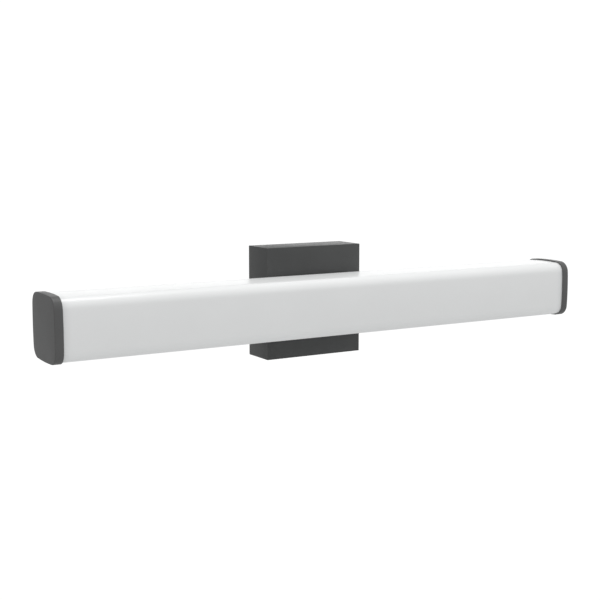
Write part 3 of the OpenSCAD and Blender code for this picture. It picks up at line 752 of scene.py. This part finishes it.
def odd_areas(tree, at):
    """Gaps between copper areas of odd shapes, about 7 mm across, with straight edges."""
    nearest, second = (
        add(tree, "ShaderNodeTexVoronoi", {"Vector": at, "Scale": 1 / (7 * MM)},
            distance="CHEBYCHEV", feature=feature).outputs["Distance"]
        for feature in ("F1", "F2")
    )
    apart = add(tree, "ShaderNodeMath", {0: second, 1: nearest}, operation="SUBTRACT")
    return add(tree, "ShaderNodeMapRange", {
        "Value": apart, "From Min": 0.03, "From Max": 0.07, "To Min": 1.0, "To Max": 0.0,
    }).outputs["Result"]


green_board = solder_mask("green circuit board", "#27663f", "#2f7449", "#194a2d", odd_areas)
softened("driver_board_panel", "driver_circuit_board", green_board, 0.1)


def wound_tape(name):
    """Yellow polyester tape wrapped round a winding: glossy, with the lap of each turn showing."""
    material, tree = new_material(name)
    at = add(tree, "ShaderNodeTexCoord").outputs["Object"]
    laps = add(tree, "ShaderNodeTexWave", {
        "Vector": at, "Scale": 0.3 / (3 * MM), "Distortion": 1.2, "Detail": 1,
    }, wave_profile="SAW")
    crease = add(tree, "ShaderNodeTexNoise", {"Vector": at, "Scale": 1 / (2 * MM), "Detail": 2})
    tint = add(tree, "ShaderNodeMix", {
        "Factor": laps, "A": colour("#c79b24"), "B": colour("#e0ba45"),
    }, data_type="RGBA")
    gloss = add(tree, "ShaderNodeMapRange", {
        "Value": crease, **noise_span, "To Min": 0.22, "To Max": 0.4,
    })
    relief = add(tree, "ShaderNodeBump", {"Height": laps, "Strength": 0.4, "Distance": 0.05 * MM})
    shader = add(tree, "ShaderNodeBsdfPrincipled", {
        "Base Color": tint, "Roughness": gloss, "IOR": 1.6, "Normal": relief,
    })
    add(tree, "ShaderNodeOutputMaterial", {"Surface": shader})
    return material


winding_tape = wound_tape("yellow winding tape")
softened(
    "driver_transformer_winding", "driver_transformer", winding_tape, 0.4, steps=3,
)

can_low, can_high = solids("driver_capacitors")[0]
can_radius = (can_high.x - can_low.x) / 2
can_height = can_high.y - can_low.y
can_neck = can_radius * 0.9
can_floor = can_height - 0.15 * MM
can_blank = turned("can_blank", [
    (0, 0), (can_neck, 0), (can_radius, 0.5 * MM), (can_radius, 1.2 * MM), (can_neck, 1.7 * MM),
    (can_radius, 2.2 * MM), (can_radius, can_height - 0.4 * MM), (can_radius * 0.93, can_height),
    (can_radius * 0.8, can_height), (can_radius * 0.78, can_floor), (0, can_floor),
], 40)
capacitor_sleeve = moulded("shrink sleeve", "#2a2c34", "#353843", 0.25, 1.8)
cans = place("driver_capacitor_cans", can_blank, feet("driver_capacitors"), 31, capacitor_sleeve)
smooth_by_angle(cans.data, 35)
settle(cans, "fixture", capacitor_sleeve, "driver_capacitors")

choke_low, choke_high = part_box("driver_choke")
choke_centre = (choke_low + choke_high) / 2
choke_outer = (choke_high.x - choke_low.x) / 2
choke_height = choke_high.y - choke_low.y
choke_inner = 2.0 * MM
wire_radius = 0.42 * MM


def sweep(tree, path, radius, sides, material):
    """Ends a tree that draws a round wire along a path."""
    section = add(tree, "GeometryNodeCurvePrimitiveCircle", {"Resolution": sides, "Radius": radius})
    wire = add(tree, "GeometryNodeCurveToMesh", {
        "Curve": path, "Profile Curve": section, "Fill Caps": True,
    })
    dress(tree, add(tree, "GeometryNodeSetShadeSmooth", {"Geometry": wire}), material)


wound_tree, given = new_tree("wind wire", {
    "Radius": "Float", "Sides": "Int", "Material": "Material",
})
sweep(wound_tree, given["Geometry"], given["Radius"], given["Sides"], given["Material"])


def route_curve(name, points):
    """A curve object of one open poly spline through the points."""
    data = bpy.data.curves.new(name, "CURVE")
    data.dimensions = "3D"
    spline = data.splines.new("POLY")
    spline.points.add(len(points) - 1)
    for target, point in zip(spline.points, points):
        target.co = (*point, 1)
    return linked(name, data)


def pressed(wave):
    """A wave with its tops pressed flat, as wire lies on the core's flat sides."""
    return max(-1, min(1, 1.35 * wave))


choke_turns = 22
steps_a_turn = 12
wound_share = 0.94           # the core stays bare between the winding's ends
coil_points = []
middle = (choke_outer + choke_inner) / 2
reach_r = (choke_outer - choke_inner) / 2 - wire_radius
reach_y = choke_height / 2 - wire_radius
for step in range(choke_turns * steps_a_turn + 1):
    around = 2 * math.pi * wound_share * step / (choke_turns * steps_a_turn)
    wind = 2 * math.pi * step / steps_a_turn
    r = middle + reach_r * pressed(math.cos(wind))
    lift = reach_y * pressed(math.sin(wind))
    coil_points.append(choke_centre + Vector((r * math.cos(around), lift, r * math.sin(around))))
copper_wire = plated("enamelled copper wire", "#9c5526", "#c47a40", 0.22)
choke = grow(route_curve("driver_choke_winding", coil_points), wound_tree, {
    "Radius": wire_radius, "Sides": 8, "Material": copper_wire,
})
choke.name = "driver_choke_winding"
settle(choke, "fixture", copper_wire, "driver_choke")


# ------------------------------------------------
# Leads. Tinned copper strands in extruded PVC, tucked into the canopy and the channel. Each runs
# whole from its board or stud to its connector; the routes are those that the fitter bends.
# ------------------------------------------------
def insulation(name, dark, light):
    """Extruded PVC: a satin skin, faintly uneven, with a trace of handling."""
    return surface(
        name, dark, light, (0.32, 0.46), drift_mm=9, grain_mm=0.6, relief=(0.3, 0.02), IOR=1.53,
    )


lead_tree, given = new_tree("sheathe route", {
    "Radius": "Float", "Rings": "Int", "Sides": "Int", "Material": "Material",
})
bent = add(
    lead_tree, "GeometryNodeCurveSplineType", {"Curve": given["Geometry"]},
    spline_type="CATMULL_ROM",
)
even = add(lead_tree, "GeometryNodeResampleCurve", {"Curve": bent, "Count": given["Rings"]})
sweep(lead_tree, even, given["Radius"], given["Sides"], given["Material"])

supply_radius_mm = 1.1
led_radius_mm = 0.8
lid_low, lid_high = (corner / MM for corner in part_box("driver_lid"))
case_end = lid_high.x
case_z = (lid_low.z + lid_high.z) / 2
exit_y = -22.0
stud_centre = feet("ground_stud")[0][0] / MM
plug_low, plug_high = (corner / MM for corner in solids("board_connectors")[0])
plug_y = (plug_low.y + plug_high.y) / 2
plug_x = plug_high.x
channel_low, channel_high = (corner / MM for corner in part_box("back_channel"))
bend_y = channel_low.y
front_y = -40.0
twists = [((a + b) / 2 / MM, (b - a) / MM) for a, b in solids("wire_connectors")]
twists.sort(key=lambda entry: entry[0].z)
twist_y = twists[0][0].y
twist_left = twists[0][0].x - twists[0][1].x / 2
twist_right = twists[0][0].x + twists[0][1].x / 2

black = insulation("black PVC", "#17171a", "#232327")
white = insulation("white PVC", "#e3e3df", "#f1f1ee")
green = insulation("green PVC", "#22763a", "#2f9149")
red = insulation("red PVC", "#a31f19", "#bf2f27")


def link_route(height):
    """From board to board over the tray's middle, hanging a little clear of it."""
    half = [(plug_x, plug_y), (-13.5, plug_y), (-7, plug_y - 0.9)]
    other_half = [(-x, y) for x, y in reversed(half)]
    return [(x, y, height) for x, y in (*half, (0, plug_y - 1.4), *other_half)]


# Points in mm that each lead is bent through, from one end to the other.
lead_routes = {
    "supply_lead_black": (black, "black_insulation", supply_radius_mm, [
        (-case_end + 5, exit_y, case_z + 4), (-case_end - 1, exit_y, case_z + 4),
        (-48, exit_y + 1, case_z + 6), (-51, -21, -25), (-52, -20, -17), (-52, -19, -6),
        (-52, -18, 5), (-50.5, -16.8, 14), (-46.5, -16, 20), (-41, twist_y, twists[0][0].z),
        (twist_left, twist_y, twists[0][0].z), (twist_left + 6, twist_y, twists[0][0].z),
    ]),
    "supply_lead_white": (white, "white_insulation", supply_radius_mm, [
        (-case_end + 5, exit_y, case_z - 4), (-case_end - 1, exit_y, case_z - 4),
        (-48.5, exit_y - 1, case_z - 3), (-52.5, -25, -34), (-53.3, -26, -24), (-53.3, -26, -10),
        (-53.3, -26, 4), (-53, -25, 16), (-50.5, -21, 27), (-46, -17.5, 33),
        (-40, twist_y, twists[1][0].z), (twist_left + 6, twist_y, twists[1][0].z),
    ]),
    "ground_lead_green": (green, "green_insulation", supply_radius_mm, [
        (stud_centre.x - 10, stud_centre.y + 1.6, stud_centre.z),
        (stud_centre.x - 12, stud_centre.y + 1.6, stud_centre.z),
        (stud_centre.x - 16.5, stud_centre.y + 2.6, stud_centre.z + 2),
        (12, -33, 45.5), (6, -27, 47.5), (0, -21, twists[2][0].z), (-6, -17, twists[2][0].z),
        (-12, twist_y, twists[2][0].z), (twist_right - 6, twist_y, twists[2][0].z),
    ]),
    "led_lead_red": (red, "red_insulation", led_radius_mm, [
        (case_end - 5, exit_y, case_z + 2), (case_end + 1, exit_y, case_z + 2),
        (47.5, -22.5, -33), (51, -24, -28), (51.8, -26, -20), (51, -28, -11), (48, -30, -4),
        (41, -31.5, 0.5), (28, -33, 1.5), (14, -34, 1.5), (6, -35.2, 1.5), (1.5, -37.5, 1.5),
        (0, front_y - 1, 1.5), (0, front_y - 8, 1.5), (0, bend_y + 3, 2), (-0.8, bend_y - 2, 2.6),
        (-4, plug_y + 1, 3.4), (-9, plug_y, 4), (plug_x, plug_y, 4),
    ]),
    "led_lead_black": (black, "black_insulation", led_radius_mm, [
        (case_end - 5, exit_y, case_z - 2), (case_end + 1, exit_y, case_z - 2),
        (48, -22, -38), (52.5, -23.5, -34), (54, -26, -25), (53.5, -28.5, -15), (51, -31, -7),
        (44, -33, -2.5), (30, -35, -1.5), (14, -35.8, -1.5), (7, -36.1, -1.5), (2.8, -37.6, -1.5),
        (0.6, front_y - 1.5, -1.5), (0, front_y - 8, -1.5), (0, bend_y + 4, -1),
        (0, bend_y - 1.2, -0.2), (-3, plug_y - 0.2, 1), (-9, plug_y, 2), (plug_x, plug_y, 2),
    ]),
    "link_lead_red": (red, "red_insulation", led_radius_mm, link_route(-2)),
    "link_lead_black": (black, "black_insulation", led_radius_mm, link_route(-4)),
}
lead_sides = 14
ring_spacing_mm = 1.6
for node, (sheathing, slot, radius_mm, points_mm) in lead_routes.items():
    run = sum(math.dist(a, b) for a, b in zip(points_mm, points_mm[1:]))
    route = route_curve(node + "_wire", [Vector(point) * MM for point in points_mm])
    wire = grow(route, lead_tree, {
        "Radius": radius_mm * MM, "Rings": int(run / ring_spacing_mm), "Sides": lead_sides,
        "Material": sheathing,
    })
    wire.name = node + "_wire"
    settle(wire, "fixture", sheathing, node)


# ------------------------------------------------
# Twist-on connectors. Moulded orange caps over a tapered spring, fluted all round for the grip,
# with a plain collar at the mouth. Each covers one of the light's leads and a house wire.
# ------------------------------------------------
orange_plastic = moulded("orange connector plastic", "#c9661c", "#dd7d2f", 0.38, 0.6)
connector_length = twists[0][1].x * MM
connector_radius = twists[0][1].y / 2 * MM
flutes = 12
flute_depth = 0.45 * MM
mouth_bore = 3 * MM


def fluted(radius):
    """A radius that dips between the grip's ribs."""
    return lambda angle: radius - flute_depth * (0.5 - 0.5 * math.cos(flutes * angle)) ** 2


rim = 0.4 * MM
bore_depth = 13 * MM
collar = 4 * MM
waist = connector_radius - 0.3 * MM
narrowing = 1.2 * MM
connector_profile = [
    (0, bore_depth), (mouth_bore * 0.8, bore_depth), (mouth_bore, bore_depth - 1 * MM),
    (mouth_bore, rim), (mouth_bore + rim, 0), (waist, 0), (connector_radius, rim),
    (connector_radius, collar - 0.6 * MM), (waist, collar),
]
taper_from, taper_to = collar + rim, connector_length - 1 * MM
for step in range(9):
    share = step / 8
    height = taper_from + (taper_to - taper_from) * share
    connector_profile.append((fluted(waist - narrowing * share), height))
connector_profile += [
    (connector_radius - 2.2 * MM, connector_length - 0.2 * MM),
    (connector_radius - 3 * MM, connector_length), (0, connector_length),
]
connector_blank = turned("connector_blank", connector_profile, 96)
connector_spots = []
for index, (centre, _) in enumerate(twists):
    from_left = index < 2
    mouth = Vector((twist_left if from_left else twist_right, centre.y, centre.z)) * MM
    connector_spots.append((mouth, Vector((1 if from_left else -1, 0, 0))))
connectors = place("twist_on_connectors", connector_blank, connector_spots, 37, orange_plastic)
smooth_by_angle(connectors.data, 40)
settle(connectors, "fixture", orange_plastic, "wire_connectors")


# ------------------------------------------------
# Channel and bushing. The channel is an aluminium extrusion, painted white: its back plate lies
# on the canopy, its walls carry the tray, and its lips hold the diffuser's tongues. A nylon snap
# bushing lines the hole where the leads come through.
# ------------------------------------------------
def drawn_paint(name, dark, light, roughness):
    """White paint over drawn metal: the die's lines still show faintly along the length."""
    return surface(
        name, dark, light, (roughness - 0.02, roughness + 0.03), drift_mm=45, grain_mm=0.9,
        relief=(0.25, 0.015), drawn=0.01, rubbed=True, IOR=1.5,
    )


white_paint = drawn_paint("white paint on aluminium", "#ebecec", "#f0f1f1", 0.38)
softened("back_channel_extrusion", "back_channel", white_paint, 0.2)
softened("snap_bushing", "wire_bushing", natural_nylon, 0.25, steps=3)


# ------------------------------------------------
# LED tray and boards. The tray is folded from white coated sheet. Each board is aluminium under
# white solder mask, with a plug and a row of LEDs, each a white frame round a yellow phosphor
# window, with two tinned ends soldered down.
# ------------------------------------------------
softened("led_tray_pressing", "led_tray", white_paint, 0.3, steps=3)

first_led, second_led = ((low + high) / 2 for low, high in solids("leds_right")[:2])
led_pitch = second_led.x - first_led.x
area_row = 4 * MM


def led_areas(tree, at):
    """Gaps between copper areas that run from under each LED to under the next, with wider
    areas above and below. The left board mirrors the right one."""
    halves = add(tree, "ShaderNodeVectorMath", {0: at}, operation="ABSOLUTE")
    flat = add(tree, "ShaderNodeMapping", {
        "Vector": halves, "Rotation": (math.pi / 2, 0, 0),
        "Location": ((led_pitch / 2 - first_led.x) % led_pitch, area_row / 2, 0),
    })
    return add(tree, "ShaderNodeTexBrick", {
        "Vector": flat, "Scale": 1 / MM, "Mortar Size": 0.18, "Mortar Smooth": 0.3,
        "Brick Width": led_pitch / MM, "Row Height": area_row / MM,
    }, offset=0.5).outputs["Fac"]


white_mask = solder_mask("white solder mask", "#eeeeeb", "#f6f6f3", "#e0e0dc", led_areas)
for side_name in ("left", "right"):
    node = "led_board_" + side_name
    softened(node + "_panel", node, white_mask, 0.12)

led_frame_white = moulded("white LED frame", "#f0efe9", "#f8f7f2", 0.3, 0.3)
phosphor = moulded("yellow phosphor", "#e3c23c", "#f0d662", 0.35, 0.2)
tinned = plated("tinned ends", "#bfc2c4", "#dcdedf", 0.25)
led_low, led_high = solids("leds_left")[0]
led_length = led_high.x - led_low.x
led_width = led_high.z - led_low.z
led_rise = led_high.y - led_low.y


def led_ring(length_share, width_share, radius_mm, height, steps=4):
    """A rounded rectangle at a height, sized by its shares of the LED's length and width."""
    radius = radius_mm * MM
    half_x = led_length / 2 * length_share - radius
    half_y = led_width / 2 * width_share - radius
    ring = []
    for quarter, (sx, sy) in enumerate(((1, 1), (-1, 1), (-1, -1), (1, -1))):
        for step in range(steps + 1):
            turn = math.radians(90 * quarter + 90 * step / steps)
            ring.append((
                sx * half_x + radius * math.cos(turn), sy * half_y + radius * math.sin(turn),
                height,
            ))
    return ring


def lofted(name, rings):
    """A closed skin over flat rings, the first and the last closed by a flat fan."""
    hubs = []
    for ring in (rings[0], rings[-1]):
        first = Vector(ring[0])
        hubs.append(first + sum((Vector(point) - first for point in ring), Vector()) / len(ring))
    return skinned(name, [[hubs[0]], *rings, [hubs[1]]])


window_floor = led_rise - 0.18 * MM
led_frame_blank = lofted("led_frame_blank", [
    led_ring(0.9, 1, 0.25, 0), led_ring(0.9, 1, 0.25, led_rise * 0.94),
    led_ring(0.87, 0.96, 0.22, led_rise), led_ring(0.66, 0.72, 0.4, led_rise),
    led_ring(0.6, 0.62, 0.35, window_floor),
])
led_window_blank = lofted("led_window_blank", [
    led_ring(0.6, 0.62, 0.35, window_floor - 0.05 * MM),
    led_ring(0.6, 0.62, 0.35, window_floor + 0.02 * MM),
    led_ring(0.35, 0.4, 0.3, led_rise - 0.1 * MM),
])
led_ends_blank = lofted("led_ends_blank", [
    led_ring(1, 0.8, 0.1, 0), led_ring(1, 0.8, 0.1, led_rise * 0.3),
    led_ring(0.93, 0.78, 0.1, led_rise * 0.45),
])
for blank in (led_frame_blank, led_window_blank, led_ends_blank):
    smooth_by_angle(blank.data, 35)

strip_tree, given = new_tree("strip of LEDs", {
    "Count": "Int", "Start": "Vector", "Step": "Vector", "Frame": "Object", "Window": "Object",
    "Ends": "Object", "Frame Material": "Material", "Window Material": "Material",
    "Ends Material": "Material",
})
row = add(strip_tree, "GeometryNodeMeshLine", {
    "Count": given["Count"], "Start Location": given["Start"], "Offset": given["Step"],
})
facing_room = add(strip_tree, "FunctionNodeAlignRotationToVector", {"Vector": (0, -1, 0)}, axis="Z")
joined = add(strip_tree, "GeometryNodeJoinGeometry")
for label in ("Frame", "Window", "Ends"):
    source = add(strip_tree, "GeometryNodeObjectInfo", {"Object": given[label]})
    copies = add(strip_tree, "GeometryNodeInstanceOnPoints", {
        "Points": row, "Instance": source.outputs["Geometry"], "Rotation": facing_room,
    })
    real = add(strip_tree, "GeometryNodeRealizeInstances", {"Geometry": copies})
    dressed = add(strip_tree, "GeometryNodeSetMaterial", {
        "Geometry": real, "Material": given[label + " Material"],
    })
    strip_tree.links.new(dressed.outputs[0], joined.inputs[0])
add(strip_tree, "NodeGroupOutput", {"Geometry": joined})

for side_name in ("left", "right"):
    node = "leds_" + side_name
    boxes = solids(node)
    first = (boxes[0][0] + boxes[0][1]) / 2
    second = (boxes[1][0] + boxes[1][1]) / 2
    start = Vector((first.x, boxes[0][1].y, first.z))
    carrier = linked(node + "_packages", bpy.data.meshes.new(node + "_packages"))
    strip = grow(carrier, strip_tree, {
        "Count": len(boxes), "Start": start, "Step": second - first,
        "Frame": led_frame_blank, "Window": led_window_blank, "Ends": led_ends_blank,
        "Frame Material": led_frame_white, "Window Material": phosphor, "Ends Material": tinned,
    })
    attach(strip, "fixture")
    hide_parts(node)
for blank in (led_frame_blank, led_window_blank, led_ends_blank):
    bpy.data.objects.remove(blank)

plugs = eased("board_plug_housings", "board_connectors", 0.3, steps=3)
slot_size = Vector((1.8, 0.9, 0.9)) * MM    # a release slot over each of a plug's two contacts
for low, high in solids("board_connectors"):
    for contact_z in (-1 * MM, 1 * MM):
        centre = Vector(((low.x + high.x) / 2, low.y, (low.z + high.z) / 2 + contact_z))
        cut(plugs, block("release_slot", centre - slot_size / 2, centre + slot_size / 2))
settle(plugs, "fixture", natural_nylon, "board_connectors")


# ------------------------------------------------
# Diffuser. One extrusion of opal acrylic, 2 mm thick: a rounded square with slightly bowed sides,
# open at the back, its two tongues held in the channel's grooves. Its filler scatters light so
# evenly that it looks milk white and hides the LEDs; the die's faintest lines run along it.
# ------------------------------------------------
cap_half_depth = (cap_high.y - cap_low.y) / 2
cap_half_height = (cap_high.z - cap_low.z) / 2
corner_radius = 12 * MM
side_bow = 333 * MM
diffuser_inset = 1.2 * MM
diffuser_wall = 2.0 * MM


def outline(inset, corner_steps=14, side_steps=10):
    """The bar's outline at an inset, as (depth, height) points anticlockwise from the back."""
    half = (cap_half_depth - inset, cap_half_height - inset)
    radius = corner_radius - inset
    bow = side_bow - inset
    side = (half[0] - bow, half[1] - bow)
    reach = math.hypot(*side) / 2
    lift = math.sqrt((bow - radius) ** 2 - reach ** 2)
    corner = (
        side[0] / 2 - lift * side[1] / (2 * reach),
        side[1] / 2 - lift * side[0] / (2 * reach),
    )
    first = math.atan2(corner[1], corner[0] - side[0])
    last = math.atan2(corner[1] - side[1], corner[0])
    quarter = []
    for i in range(side_steps):
        turn = first * i / side_steps
        quarter.append((side[0] + bow * math.cos(turn), bow * math.sin(turn)))
    for i in range(corner_steps + 1):
        turn = first + (last - first) * i / corner_steps
        quarter.append((corner[0] + radius * math.cos(turn), corner[1] + radius * math.sin(turn)))
    for i in range(1, side_steps + 1):
        turn = last + (math.pi / 2 - last) * i / side_steps
        quarter.append((bow * math.cos(turn), side[1] + bow * math.sin(turn)))
    mirror = [(-y, z) for y, z in reversed(quarter[:-1])]
    upper = quarter + mirror
    lower = [(y, -z) for y, z in reversed(upper[1:-1])]
    return upper + lower


def opal_acrylic(name, half_length):
    """Opal acrylic: milk white all through, with a satin gloss. Near its ends the colour is
    darkened as painted shade, standing in for the light held back by the caps' dark bosses behind
    it."""
    material, tree = new_material(name)
    at = add(tree, "ShaderNodeTexCoord").outputs["Object"]
    cloud = add(tree, "ShaderNodeTexNoise", {"Vector": at, "Scale": 1 / (60 * MM), "Detail": 2})
    share = add(tree, "ShaderNodeMapRange", {"Value": cloud, **noise_span})
    milk = add(tree, "ShaderNodeMix", {
        "Factor": share, "A": colour("#f2f3f3"), "B": colour("#f4f5f5"),
    }, data_type="RGBA")
    split = add(tree, "ShaderNodeSeparateXYZ", {"Vector": at})
    off_centre = add(tree, "ShaderNodeMath", {0: split.outputs["X"]}, operation="ABSOLUTE")
    # painted shade: the milk colour is mixed up to 40 % towards grey #d8d9da over the last 15 mm to
    # 4 mm of each end
    behind = add(tree, "ShaderNodeMapRange", {
        "Value": off_centre, "From Min": half_length - 15 * MM,
        "From Max": half_length - 4 * MM, "To Max": 0.4,
    }, interpolation_type="SMOOTHERSTEP")
    tint = add(tree, "ShaderNodeMix", {
        "Factor": behind, "A": milk, "B": colour("#d8d9da"),
    }, data_type="RGBA")
    along = add(tree, "ShaderNodeMapping", {"Vector": at, "Scale": (0.006, 1, 1)})
    lines = add(tree, "ShaderNodeTexNoise", {"Vector": along, "Scale": 1 / (2.5 * MM), "Detail": 1})
    satin = add(tree, "ShaderNodeMapRange", {
        "Value": lines, **noise_span, "To Min": 0.28, "To Max": 0.29,
    })
    relief = add(tree, "ShaderNodeBump", {
        "Height": lines, "Strength": 0.02, "Distance": 0.002 * MM,
    })
    shader = add(tree, "ShaderNodeBsdfPrincipled", {
        "Base Color": tint, "Roughness": satin, "IOR": 1.49, "Normal": relief,
    })
    add(tree, "ShaderNodeOutputMaterial", {"Surface": shader})
    return material


diffuser_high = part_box("diffuser")[1]
tongue_back = diffuser_high.y - bar_axis.y
tongue_front = tongue_back - diffuser_wall
channel_lip = 3.5 * MM
channel_half = (channel_high.z - channel_low.z) / 2 * MM - channel_lip
tongue_play = 0.4 * MM
tongue_edge = channel_half + tongue_play


def open_at(points, depth):
    """The outline's run in front of a depth, its ends brought exactly to it."""
    count = len(points)
    start = max(range(count), key=lambda i: points[i][0] < depth and points[i - 1][0] >= depth)
    run = [points[(start + i) % count] for i in range(count)]
    run = [point for point in run if point[0] < depth]
    before = points[(start - 1) % count]
    ends = []
    for inside, outside in ((run[0], before), (run[-1], (before[0], -before[1]))):
        share = (depth - inside[0]) / (outside[0] - inside[0])
        ends.append((depth, inside[1] + (outside[1] - inside[1]) * share))
    return [ends[0], *run, ends[1]]


outer_run = open_at(outline(diffuser_inset), tongue_back)
inner_run = open_at(outline(diffuser_inset + diffuser_wall), tongue_front)
section_points = [
    (tongue_back, tongue_edge), *outer_run, (tongue_back, -tongue_edge),
    (tongue_front, -tongue_edge), *reversed(inner_run), (tongue_front, tongue_edge),
]

extrude_tree, given = new_tree("extrude section", {
    "Half Length": "Float", "Depth": "Float", "Rings": "Int", "Material": "Material",
})
minus = add(
    extrude_tree, "ShaderNodeMath", {0: given["Half Length"], 1: -1.0}, operation="MULTIPLY",
)
near_end, far_end = (
    add(extrude_tree, "ShaderNodeCombineXYZ", {"X": x, "Y": given["Depth"]})
    for x in (minus, given["Half Length"])
)
axis_line = add(extrude_tree, "GeometryNodeCurvePrimitiveLine", {"Start": near_end, "End": far_end})
stations = add(extrude_tree, "GeometryNodeResampleCurve", {
    "Curve": axis_line, "Count": given["Rings"],
})
extruded = add(extrude_tree, "GeometryNodeCurveToMesh", {
    "Curve": stations, "Profile Curve": given["Geometry"], "Fill Caps": True,
})
dress(extrude_tree, extruded, given["Material"])

section_curve = route_curve("opal_diffuser", [(-y, -z, 0) for y, z in section_points])
section_curve.data.splines[0].use_cyclic_u = True
opal = opal_acrylic("opal acrylic", diffuser_high.x)
diffuser = grow(section_curve, extrude_tree, {
    "Half Length": diffuser_high.x, "Depth": bar_axis.y, "Rings": 25, "Material": opal,
})
diffuser.name = "opal_diffuser"
smooth_by_angle(diffuser.data, 30)
settle(diffuser, "diffuser", opal, "diffuser")


# ------------------------------------------------
# End caps. Moulded in one piece and coated to match the canopy: a thick face with a soft edge, a
# thin lip round the diffuser's end, a boss inside it and two legs that push into the channel.
# ------------------------------------------------
cap_coat = powder_coat(
    "graphite coated moulding", "#5e5e5e", "#636363",
    roughness=0.38, ior=1.25, peel_mm=1.1, grain_mm=0.4,
)
cap_face_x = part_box("right_end_cap")[1].x
pocket_x = 2.3 * MM          # distances inwards from the face: the pocket's floor and the lip's end
lip_x = 8.3 * MM
lip_gap = 0.1 * MM
lip_round = 0.15 * MM
lead_in = 0.45 * MM
edge_across = 1.0 * MM
edge_along = 0.7 * MM
edge_steps = 5
boss_gap = 0.2 * MM
boss_height = 2 * MM
boss_wall = 1.6 * MM
boss_round = 0.2 * MM
channel_back = channel_high.y * MM - bar_axis.y


def cap_ring(side, inset, inwards, back=math.inf):
    """The outline at an inset and a distance inwards, cut off at the back."""
    return [
        (side * (cap_face_x - inwards), bar_axis.y + min(y, back), z) for y, z in outline(inset)
    ]


def end_cap(name, side):
    """The cap as one closed skin: face, soft edge, side, lip, pocket and boss."""
    pocket = diffuser_inset - lip_gap
    pocket_back = channel_back + lip_gap
    boss = diffuser_inset + diffuser_wall + boss_gap
    boss_back = tongue_front - boss_gap
    boss_top = pocket_x + boss_height
    skin = []
    for step in range(edge_steps + 1):
        turn = math.radians(90 * step / edge_steps)
        skin.append(cap_ring(
            side, edge_across * (1 - math.sin(turn)), edge_along * (1 - math.cos(turn)),
        ))
    skin.append(cap_ring(side, 0, lip_x - lip_round))
    skin.append(cap_ring(side, lip_round, lip_x))
    for inset, inwards in (
        (pocket - lead_in, lip_x), (pocket, lip_x - lead_in * 2), (pocket, pocket_x),
    ):
        skin.append(cap_ring(side, inset, inwards, pocket_back))
    for inset, inwards in (
        (boss, pocket_x), (boss, boss_top - boss_round), (boss + boss_round, boss_top),
        (boss + boss_wall, boss_top), (boss + boss_wall, pocket_x),
    ):
        skin.append(cap_ring(side, inset, inwards, boss_back))
    cap = lofted(name, skin)
    clean(cap.data)
    smooth_by_angle(cap.data, 40)
    return cap


channel_wall = 1.5 * MM
running_gap = 0.05 * MM
leg_thickness = 1.5 * MM
leg_length = 16 * MM
leg_root = 0.4 * MM          # how deep a leg stands in the cap's face
leg_inset = 3 * MM
leg_edge = 0.4 * MM
leg_outer = channel_half - channel_wall - running_gap
leg_front = channel_low.y * MM + leg_inset
leg_back = channel_high.y * MM - channel_wall - leg_inset
leg_start_x = cap_face_x - pocket_x + leg_root
leg_end_x = cap_face_x - pocket_x - leg_length
for side, cap_name in ((-1, "left"), (1, "right")):
    cap = end_cap(cap_name + "_end_cap_moulding", side)
    cap_shape = opened(cap.data)
    for end in (-1, 1):
        corners = (
            (side * leg_start_x, leg_front, end * leg_outer),
            (side * leg_end_x, leg_back, end * (leg_outer - leg_thickness)),
        )
        lowest = [min(pair) for pair in zip(*corners)]
        highest = [max(pair) for pair in zip(*corners)]
        leg = block("leg", lowest, highest)
        soft = leg.modifiers.new("soft edges", "BEVEL")
        soft.width = leg_edge
        soft.segments = 3
        applied(leg)
        smooth_by_angle(leg.data)
        cap_shape.from_mesh(leg.data)
        bpy.data.objects.remove(leg)
    into(cap.data, cap_shape)
    settle(cap, cap_name + "_cap", cap_coat, cap_name + "_end_cap")


# ------------------------------------------------
# The box of the finished light. The CAD model's box was taken at the start.
# ------------------------------------------------
low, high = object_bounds()
